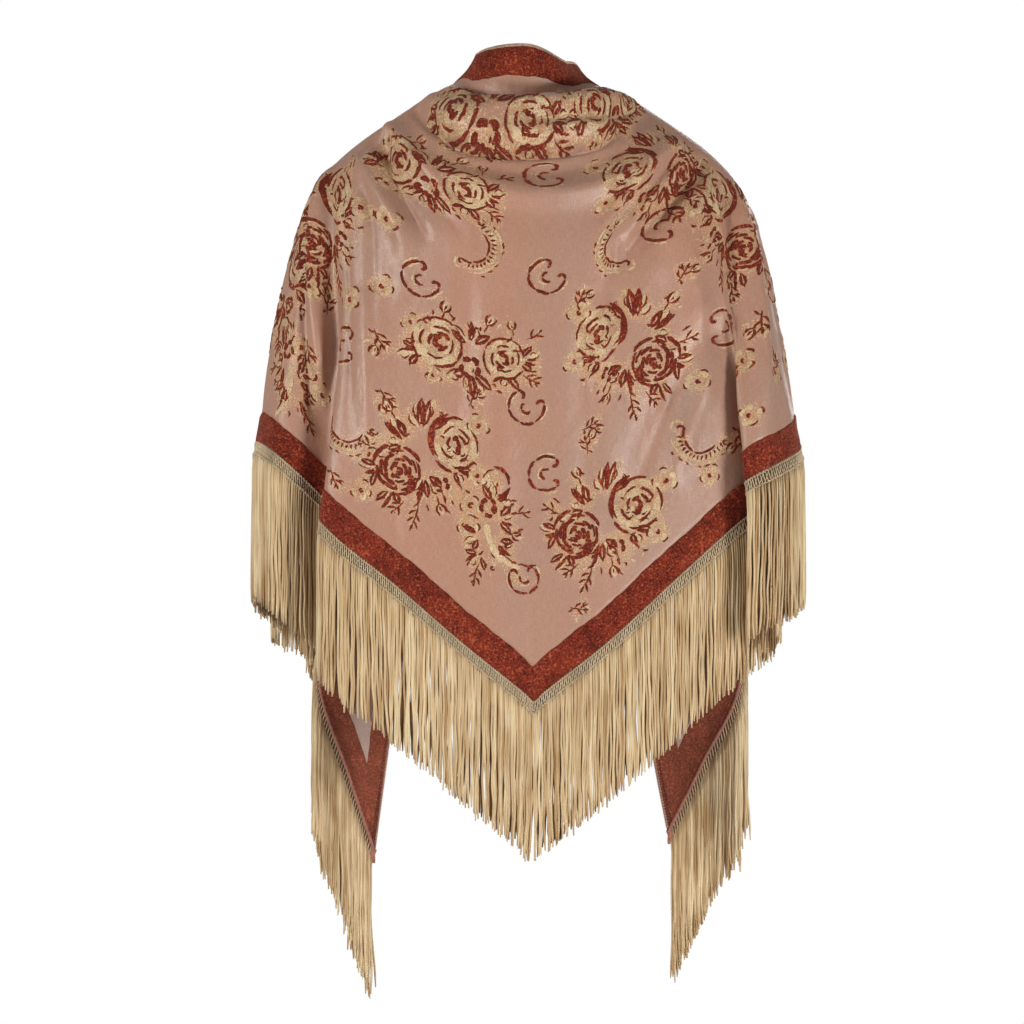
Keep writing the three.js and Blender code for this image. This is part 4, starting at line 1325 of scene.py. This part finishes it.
def border_strip(name, s_inner, t_inner, s_outer, t_outer, size, flip):
    """A strip of border between its inner line and the cut edge, with the pile's profile across it."""
    share, pile, hem = PILE_PROFILE[::-1].T if flip else PILE_PROFILE.T
    s = s_inner[:, None] + (s_outer - s_inner)[:, None] * share
    t = t_inner[:, None] + (t_outer - t_inner)[:, None] * share
    half = size["cloth_thickness"] / 2
    return shell(name, s, t, half + size["pile_height"] * pile, half + hem, two_sided=True)


def neck_border(size):
    """The border of the long edge: its width, mitred straight to nothing at the tips, and wider by a
    bell behind the collar."""
    width, wave = size["border_width"], size["edge_wave"]
    inner_s = inner_tip(width)[0]
    behind, along_arm, at_tip = NECK_COLUMNS
    middle = np.linspace(-NECK_STRETCH, NECK_STRETCH, behind)
    arm = NECK_STRETCH + (inner_s - NECK_STRETCH) * np.linspace(0, 1, along_arm)[1:]
    tip = inner_s + (HALF_LONG_EDGE - TIP_GAP - inner_s) * np.linspace(0, 1, at_tip)[1:]
    s = np.concatenate([-tip[::-1], -arm[::-1], middle, arm, tip])
    mitre = np.clip((HALF_LONG_EDGE - np.abs(s)) / (HALF_LONG_EDGE - inner_s), 0, 1)
    inset = border_inset(s, width, wave * smooth(0, STRAIGHT_END, inner_s - np.abs(s)))
    extra, reach = COLLAR_BORDER
    t_inner = inset * mitre + TIP_WIDTH * (mitre < 1) + extra * np.exp(-((s / reach) ** 2))
    return border_strip("velvet_border_neck", s, t_inner, s, np.zeros_like(s), size, True)


def mitre_drop(place, width):
    """How far down a fall line meets the line from the border's inner corner to the tip."""
    fan = fan_angle(place)
    run = HALF_LONG_EDGE - inner_tip(width)[0]
    level = FALL_FOCUS * run + width * (HALF_LONG_EDGE - FALL_HALF)
    return level / (run * np.cos(fan) + width * np.sin(fan)) - FALL_FOCUS


def side_border(name, side, size):
    """The border of one fringed edge, from the back point to a tip, on the fall lines: from its inner
    line, or from the mitre where that lies lower, to the cut."""
    width, wave = size["border_width"], size["edge_wave"]
    along = side * np.linspace(0, EDGE_ALONG, SIDE_COLUMNS)
    if side < 0:
        along = along[::-1]
    place = place_of(along)
    corner = along_of(inner_tip(width)[1])
    wander = wave * smooth(0, STRAIGHT_END, corner - np.abs(along))
    inset = border_inset(along + SIDE_WAVE_START, width, wander)
    start = np.maximum(hem_drop(place, inset), mitre_drop(place, width))
    foot = np.maximum(hem_drop(place), start + LEAST_RUN)
    s_inner, t_inner = flat_place(place, start)
    s_outer, t_outer = flat_place(place, foot)
    return border_strip(name, s_inner, t_inner, s_outer, t_outer, size, False)


def on_cloth(s, t, height):
    """Points a height above the cloth's middle at flat places."""
    point, normal = cloth_frame(s, t)
    return point + normal * np.broadcast_to(height, point.shape[:-1])[..., None]


def hem_place(along, beyond):
    """The flat place that lies beyond the fringed edge on the fall line that meets it there."""
    place = place_of(along)
    return flat_place(place, hem_drop(place) + beyond)


# A stitch over the edge, as it goes over: drop below the long edge, height off the cloth.
OVERLOCK_PATH = np.array([(3.0, 1.9), (1.2, 2.1), (-0.4, 1.2), (-0.6, -0.6), (0.8, -1.5), (2.6, -1.5)])
OVERLOCK_RADIUS = 0.42
OVERLOCK_END = 6
# The stitches on the wrong side: the drops of the two rows, their step, the length and the radius of a
# stitch, and where the rows end before a tip.
INNER_ROWS = (2.6, 6.4)
INNER_STEP = 3.6
INNER_LENGTH = 2.6
INNER_RADIUS = 0.52
INNER_END = 12
# The rolled seam: rings along it, its place beyond the cut, and the length of a bead.
ROLL_RINGS = 1100
ROLL_BEYOND = 0.6
ROLL_BEAD = 1.9
# The radii of a curled end of the seam, from its root to its tip, and how far it hangs.
STUB_RADII = (3.0, 3.6, 3.3, 3.7, 3.3, 3.5, 3.0, 2.3, 0.9)
STUB_DROP = 15


def overlock(size):
    """Stitches over the long edge: each goes from the right side over the edge to the wrong side, with
    its foot a little further on than its head."""
    gap = size["stitch_gap"]
    end = HALF_LONG_EDGE - OVERLOCK_END
    s = np.arange(-end, end, gap)[:, None]
    share = np.linspace(0, 1, len(OVERLOCK_PATH))
    t, height = OVERLOCK_PATH.T
    paths = on_cloth(s + gap * 0.9 * share, t, height)
    return tubes("overlock_stitches", paths, np.full(paths.shape[:2], OVERLOCK_RADIUS), 4)


def inner_stitches():
    """Two rows of short stitches on the wrong side, inside the long edge, the second half a step on.
    Each bulges off the cloth as half a sine."""
    end = HALF_LONG_EDGE - INNER_END
    s = np.arange(-end, end, INNER_STEP)
    starts = np.concatenate([s, s + INNER_STEP / 2])[:, None]
    t = np.repeat(INNER_ROWS, len(s))[:, None]
    share = np.linspace(0, 1, 4)
    paths = on_cloth(starts + INNER_LENGTH * share, t, -1.0 - 0.5 * np.sin(math.pi * share))
    return tubes("inner_stitches", paths, np.full(paths.shape[:2], INNER_RADIUS), 4)


def hem_roll():
    """The rolled seam along both fringed edges: a thin roll on the wrong side of the cut, with beads
    that follow the size of a sine."""
    along = np.linspace(-EDGE_ALONG, EDGE_ALONG, ROLL_RINGS)
    bead = np.abs(np.sin(along / ROLL_BEAD))
    middle = on_cloth(*hem_place(along, ROLL_BEYOND), -1.3 - 0.3 * bead)
    return tubes("hem_roll", middle[None], (1.3 + 0.95 * bead)[None], 6)


def tip_stubs():
    """The ends of the rolled seam at the two tips: each hangs down and swings out as a sine."""
    share = np.linspace(0, 1, len(STUB_RADII))
    paths = []
    for side in (-1, 1):
        s, t = hem_place(np.array([side * EDGE_ALONG]), 0.0)
        root = cloth_point(s, t)[0]
        x = root[0] + side * 2.5 * np.sin(3.2 * share)
        y = root[1] + 2.0 * share
        paths.append(np.stack([x, y, root[2] + 2 - STUB_DROP * share], -1))
    return tubes("tip_stubs", np.array(paths), np.tile(STUB_RADII, (2, 1)), 8)


# The columns of the tape of the heading, and half its thickness.
TAPE_COLUMNS = 800
TAPE_HALF = 0.25


def heading_tape(size):
    """The narrow tape that carries the net, from the rolled seam to the roots of the strands. Its dark
    colour is painted shade in the gaps of the net.
    """
    along = np.linspace(-EDGE_ALONG, EDGE_ALONG, TAPE_COLUMNS)[:, None]
    down = np.array([[0.8, 0.5 * size["heading_depth"], size["heading_depth"] - 1.2]])
    s, t = hem_place(*np.broadcast_arrays(along, down))
    return shell("heading_tape", s, t, TAPE_HALF, TAPE_HALF)


# The threads down the net: lean in pitches, height off the cloth, every how many, radius.
NET_THREADS = ((0.6, 0.7, 1, 0.52), (-2.6, 0.95, 2, 0.34), (0.6, -0.7, 2, 0.5))
# The chains of small loops: the drop of the upper one, how far above the foot of the heading the lower
# one starts, the depth of a loop, its pitch and its radius.
CHAIN_TOP = 0.6
CHAIN_FOOT = 2.6
CHAIN_DEPTH = 2.2
CHAIN_PITCH = 3.1
CHAIN_RADIUS = 0.6
# How far inside the left end and the right end of the sewn edge the net stops.
NET_ENDS = (5, 6)


def net_heading(size):
    """The net of the heading: straight threads down both faces of the tape, slanting ones over them on
    the outer face, and a chain of small loops at its top and at the roots of the strands."""
    depth, gap = size["heading_depth"], size["net_gap"]
    low, high = NET_ENDS[0] - EDGE_ALONG, EDGE_ALONG - NET_ENDS[1]
    share = np.linspace(0, 1, 4)
    runs, radii = [], []
    for lean, height, every, radius in NET_THREADS:
        along = np.arange(low, high, gap)[::every, None] + lean * gap * (share - 0.5)
        runs.append(on_cloth(*hem_place(along, 1.0 + (depth - 1.5) * share), height))
        radii += [radius] * len(along)
    for top in (CHAIN_TOP, depth - CHAIN_FOOT):
        along = np.arange(low, high, CHAIN_PITCH)[:, None] + CHAIN_PITCH * 1.15 * share
        place = hem_place(along, top + CHAIN_DEPTH * np.sin(math.pi * share))
        runs.append(on_cloth(*place, 1.1 + 0.4 * np.cos(math.pi * share)))
        radii += [CHAIN_RADIUS] * len(along)
    return tubes("net_heading", np.concatenate(runs), np.repeat(radii, 4).reshape(-1, 4), 3)


# Where each stretch of the fringe begins and ends, from the back point along the edge.
STRETCHES = {"back": (0, 305), "arm": (305, 620), "tail": (620, 1188)}
STRAND_RINGS = 12
# The two layers of strands: how far behind the first one each hangs, its share of the length, and 0 for
# the light yarn in front or 1 for the dark yarn, whose darkness is painted shade among the strands.
STRAND_LAYERS = ((0.0, 1.0, 0), (2.6, 0.975, 1))
# How far above the foot of the heading a strand begins, and where the way that it leaves is taken.
STRAND_ROOT = 2.4
STRAND_WAY = 1.4
# The way down in which a strand bends from the cloth's own slope to straight down.
STRAND_BEND = 7.0
# Shares of the strands that start a new bunch, and that hang astray.
BUNCH_SHARE = 0.42
STRAY_SHARE = 0.05


def strands(name, low, high, size):
    """Strands between two places of the fringed edge, in two layers. Each leaves the heading along the
    cloth and bends to hang straight down; it wavers as a sine that grows towards its end, and leans to
    or from its neighbours."""
    gap, length = size["strand_gap"], size["strand_length"]
    each = int((high - low) / gap)
    count = each * len(STRAND_LAYERS)
    behind, full, layer = np.repeat(np.array(STRAND_LAYERS), each, axis=0).T
    # The layer behind takes the yarn of painted shade, but where the tails are seen from behind it is in
    # front, so both are light there.
    painted_shade_slots = layer * (max(abs(low), abs(high)) <= STRETCHES["arm"][1])
    order = np.tile(np.arange(each), len(STRAND_LAYERS)) + 0.5 * layer
    along = low + (order + 0.25) * (high - low) / each + rng.normal(0, gap * 0.10, count)
    along = np.clip(along, -EDGE_ALONG, EDGE_ALONG)
    root, normal = cloth_frame(*hem_place(along, size["heading_depth"] - STRAND_ROOT))
    leave = cloth_point(*hem_place(along, size["heading_depth"] - STRAND_WAY)) - root
    leave /= np.linalg.norm(leave, axis=-1, keepdims=True)
    out = normal * np.array([1, 1, 0])
    out /= np.linalg.norm(out, axis=-1, keepdims=True)
    aside = np.stack([-out[:, 1], out[:, 0], 0 * out[:, 0]], -1)

    share = np.linspace(0, 1, STRAND_RINGS)
    own_length = length * full * (1 + rng.normal(0, 0.010, count)) - 8 * rng.random(count) ** 5
    down = own_length[:, None] * share
    held = STRAND_BEND * (1 - np.exp(-down / STRAND_BEND))
    bunch = np.cumsum(rng.random(count) < BUNCH_SHARE)
    swing = rng.normal(0, 1.3, bunch.max() + 1)[bunch] + rng.normal(0, 0.5, count)
    stray = np.where(rng.random(count) < STRAY_SHARE, rng.normal(0, 6, count), 0)
    depth = rng.normal(0, 0.6, count)
    phase, wave = rng.uniform(0, 2 * math.pi, count), rng.uniform(45, 110, count)
    waver = (0.3 + 0.6 * share) * np.sin(down / wave[:, None] * 2 * math.pi + phase[:, None])
    across = (swing + stray)[:, None] * share**1.3 + waver
    outward = depth[:, None] * share**0.8 + 0.4 * np.cos(down / 40 + phase[:, None])
    outward -= behind[:, None] * smooth(0, 0.12, share)
    paths = (
        root[:, None]
        + leave[:, None] * held[..., None]
        + np.array([0, 0, -1.0]) * (down - held)[..., None]
        + aside[:, None] * across[..., None]
        + out[:, None] * outward[..., None]
    )
    radius = size["strand_radius"] * (0.9 + 0.2 * rng.random(count))[:, None]
    taper = 1 - 0.45 * smooth(0.94, 1.0, share)
    return tubes(name, paths, radius * taper * (1 + 0.05 * np.sin(down / 2.3)), 5, slots=painted_shade_slots)


# Stage, in metres

FLOOR_RADIUS = 3.5
FLOOR_HEIGHT = -1.42
FLOOR_CORNERS = 96
FLOOR_COLOUR = (0.86, 0.86, 0.85, 1)
# How bright the white world is as a light, where the camera doesn't see it.
WORLD_LIGHT = 0.23
# Each light: its name, its place, the point that it faces, its size and its power in watts.
LIGHTS = (
    ("key", (-2.7, -2.0, 0.3), (0, 0, -0.4), 0.7, 58),
    ("fill", (2.5, -2.4, -1.1), (0, 0, -0.5), 0.9, 74),
    ("front", (0.4, 3.0, 0.0), (0, 0, -0.5), 2.0, 60),
    ("top", (0.3, -0.6, 2.4), (0, 0, 0), 1.2, 1),
)
# The camera looks straight at the back: its distance, the side of the square that it sees there and
# the middle of that square, in x and z.
CAMERA_DISTANCE = 4.0
VIEW_SIDE = 1.024
VIEW_MIDDLE = (-0.016, -0.372)
SENSOR = 36


def floor_disc():
    """A round pale floor that lies below the tails."""
    turn = np.linspace(0, 2 * math.pi, FLOOR_CORNERS, endpoint=False)
    height = np.full(FLOOR_CORNERS, FLOOR_HEIGHT)
    rim = np.stack([FLOOR_RADIUS * np.cos(turn), FLOOR_RADIUS * np.sin(turn), height], -1)
    mesh = bpy.data.meshes.new("floor")
    mesh.from_pydata(rim.tolist(), [], [tuple(range(FLOOR_CORNERS))])
    floor = bpy.data.objects.new("floor", mesh)
    bpy.context.collection.objects.link(floor)
    paint = Shader("pale floor", Roughness=0.9, Specular_IOR_Level=0.1)
    paint.put("Base Color", FLOOR_COLOUR)
    mesh.materials.append(paint.material)


def white_world():
    """A world that the camera sees as white and that gives a weaker light."""
    scene = bpy.context.scene
    scene.world = bpy.data.worlds.new("studio")
    scene.world.use_nodes = True
    tree = scene.world.node_tree
    back = tree.nodes["Background"]
    seen = tree.nodes.new("ShaderNodeLightPath")
    level = tree.nodes.new("ShaderNodeMapRange")
    level.inputs["To Min"].default_value = WORLD_LIGHT
    level.inputs["To Max"].default_value = 1.0
    tree.links.new(seen.outputs["Is Camera Ray"], level.inputs["Value"])
    tree.links.new(level.outputs["Result"], back.inputs["Strength"])
    back.inputs["Color"].default_value = (1, 1, 1, 1)
    scene.view_settings.view_transform = "Standard"


def disc_light(name, place, aim, span, power):
    """A round area light, turned and tipped so that it faces its aim."""
    light = bpy.data.lights.new(name, "AREA")
    light.shape = "DISK"
    light.size = span
    light.energy = power
    lamp = bpy.data.objects.new(name, light)
    bpy.context.collection.objects.link(lamp)
    x, y, z = np.array(aim) - np.array(place)
    lamp.location = place
    lamp.rotation_euler = (math.atan2(math.hypot(x, y), -z), 0, math.atan2(-x, y))


def square_camera():
    """The camera behind the shawl: its lens is the sensor times the distance over the side it sees."""
    camera = bpy.data.objects.new("camera", bpy.data.cameras.new("camera"))
    camera.data.sensor_width = SENSOR
    camera.data.lens = SENSOR * CAMERA_DISTANCE / VIEW_SIDE
    camera.location = (VIEW_MIDDLE[0], -CAMERA_DISTANCE, VIEW_MIDDLE[1])
    camera.rotation_euler = (math.pi / 2, 0, 0)
    bpy.context.collection.objects.link(camera)
    bpy.context.scene.camera = camera


# Operators


class SHAWL_OT_stage(bpy.types.Operator):
    """Add the floor, the lights and the camera"""

    bl_idname = "shawl.stage"
    bl_label = "Stage"

    def execute(self, context):
        floor_disc()
        white_world()
        for row in LIGHTS:
            disc_light(*row)
        square_camera()
        return {"FINISHED"}


class SHAWL_OT_satin(bpy.types.Operator):
    """Add the satin cloth with its folds"""

    bl_idname = "shawl.satin"
    bl_label = "Satin cloth"

    def execute(self, context):
        right = satin_material("satin", colour("satin"), colour("satin_shade"), 0.40, 0.3, 0.85)
        duller = shade("satin_back", 0.88)
        wrong = satin_material("satin wrong side", colour("satin_back"), duller, 0.62, 0.15)
        finish_piece(satin_cloth(sizes()), "satin", right, wrong, stands_for=["satin_panel"])
        return {"FINISHED"}


class SHAWL_OT_border(bpy.types.Operator):
    """Add the velvet border along the three edges"""

    bl_idname = "shawl.border"
    bl_label = "Velvet border"

    def execute(self, context):
        size = sizes()
        # The border's pile colour, then its painted shade and its painted highlight.
        tones = colour("velvet"), colour("velvet_painted_shade"), colour("velvet_painted_highlight")
        pile = velvet_material("velvet", *tones, 0.22, PILE_GLOW)
        # The wrong side's darker and lighter copies are its painted shade and painted highlight.
        tones = colour("velvet_back"), shade("velvet_back", 0.6), shade("velvet_back", 1.7)
        wrong = velvet_material("velvet wrong side", *tones, 0.2, PILE_BACK_GLOW)
        for piece, node in (
            (neck_border(size), "border_neck"),
            (side_border("velvet_border_left", -1, size), "border_left"),
            (side_border("velvet_border_right", 1, size), "border_right"),
        ):
            finish_piece(piece, "velvet", pile, wrong, stands_for=[node])
        return {"FINISHED"}


class SHAWL_OT_motifs(bpy.types.Operator):
    """Add the flowers and scrolls in rust pile and gold thread, on the back and on the arms"""

    bl_idname = "shawl.motifs"
    bl_label = "Motifs"

    def execute(self, context):
        height, lift = sizes()["motif_height"], sizes()["cloth_thickness"] / 2 + MOTIF_LIFT
        # The motifs' rust, a darker copy as painted shade, and the velvet's painted highlight.
        tones = colour("motif"), shade("motif", 0.5), colour("velvet_painted_highlight")
        pile = velvet_material("motif pile", *tones, 0.12, PILE_GLOW)
        gold = gold_material()
        faded = plain_thread_material("motif wrong side", "velvet_back")
        pale = plain_thread_material("gold wrong side", "satin_back")
        # Each of the two: its name, number, slot, the two materials and its share of the pile's height.
        kinds = (
            ("rust", RUST, "velvet", pile, faded, 1.0),
            ("gold", GOLD, "satin", gold, pale, 0.55),
        )
        for place, (lines, widths, tones) in motif_strokes().items():
            for name, tone, slot, paint, wrong, rise in kinds:
                own = tones == tone
                strokes = lines[own], widths[own]
                piece = stroke_mesh(f"motifs_{place}_{name}", *strokes, height * rise, lift)
                finish_piece(piece, slot, paint, wrong)
        return {"FINISHED"}


class SHAWL_OT_sewing(bpy.types.Operator):
    """Add the overlock stitches, the inner stitching and the rolled seam"""

    bl_idname = "shawl.sewing"
    bl_label = "Sewing"

    def execute(self, context):
        finish_piece(overlock(sizes()), "fringe", plain_thread_material("overlock thread", "thread"))
        finish_piece(inner_stitches(), "velvet", plain_thread_material("dark thread", "dark_thread"))
        roll = plain_thread_material("rolled seam", "seam")
        finish_piece(hem_roll(), "velvet", roll)
        finish_piece(tip_stubs(), "velvet", roll)
        return {"FINISHED"}


class SHAWL_OT_heading(bpy.types.Operator):
    """Add the netted heading of the fringe and its tape"""

    bl_idname = "shawl.heading"
    bl_label = "Netted heading"

    def execute(self, context):
        yarn = yarn_material("heading yarn", colour("heading"), shade("heading", 0.7), 30, 0.6)
        finish_piece(net_heading(sizes()), "fringe", yarn)
        # The tape's dark colour is painted shade behind the net.
        finish_piece(heading_tape(sizes()), "fringe", plain_thread_material("heading tape in painted shade", "tape"))
        return {"FINISHED"}


class SHAWL_OT_fringe(bpy.types.Operator):
    """Add the strands of the fringe, one piece for each stretch of it"""

    bl_idname = "shawl.fringe"
    bl_label = "Fringe"

    def execute(self, context):
        size = sizes()
        yarn = yarn_material("fringe yarn", colour("fringe"), colour("fringe_shade"), 260, 0.38)
        # The yarn behind is painted shade: darker strands standing in for the shade among them.
        behind = yarn_material("fringe yarn in painted shade", colour("fringe_shade"), colour("fringe_painted_shade"), 260)
        for side, sign in (("left", -1), ("right", 1)):
            for stretch, (near, far) in STRETCHES.items():
                low, high = sorted((sign * near, sign * far))
                piece = strands(f"strands_{stretch}_{side}", low, high, size)
                finish_piece(piece, "fringe", yarn, behind, stands_for=[f"fringe_{stretch}_{side}"])
        return {"FINISHED"}


class SHAWL_PT_panel(bpy.types.Panel):
    """The pieces of the shawl, their sizes and their colours"""

    bl_idname = "SHAWL_PT_panel"
    bl_label = "Triangle shawl"
    bl_space_type = "VIEW_3D"
    bl_region_type = "UI"
    bl_category = "Shawl"

    def draw(self, context):
        for operator in OPERATORS:
            self.layout.operator(operator.bl_idname)
        for group in (context.scene.shawl_sizes, context.scene.shawl_colours):
            box = self.layout.box()
            for name in type(group).__annotations__:
                box.prop(group, name)


OPERATORS = (
    SHAWL_OT_stage,
    SHAWL_OT_satin,
    SHAWL_OT_border,
    SHAWL_OT_motifs,
    SHAWL_OT_sewing,
    SHAWL_OT_heading,
    SHAWL_OT_fringe,
)
CLASSES = (ShawlSizes, ShawlColours, *OPERATORS, SHAWL_PT_panel)


def register():
    for cls in CLASSES:
        bpy.utils.register_class(cls)
    bpy.types.Scene.shawl_sizes = bpy.props.PointerProperty(type=ShawlSizes)
    bpy.types.Scene.shawl_colours = bpy.props.PointerProperty(type=ShawlColours)


def unregister():
    del bpy.types.Scene.shawl_colours
    del bpy.types.Scene.shawl_sizes
    for cls in reversed(CLASSES):
        bpy.utils.unregister_class(cls)


def main():
    register()
    for operator in OPERATORS:
        name = operator.bl_idname.split(".")[1]
        getattr(bpy.ops.shawl, name)()
    inset = satin_inset(sizes())
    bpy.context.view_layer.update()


if __name__ == "__main__":
    main()
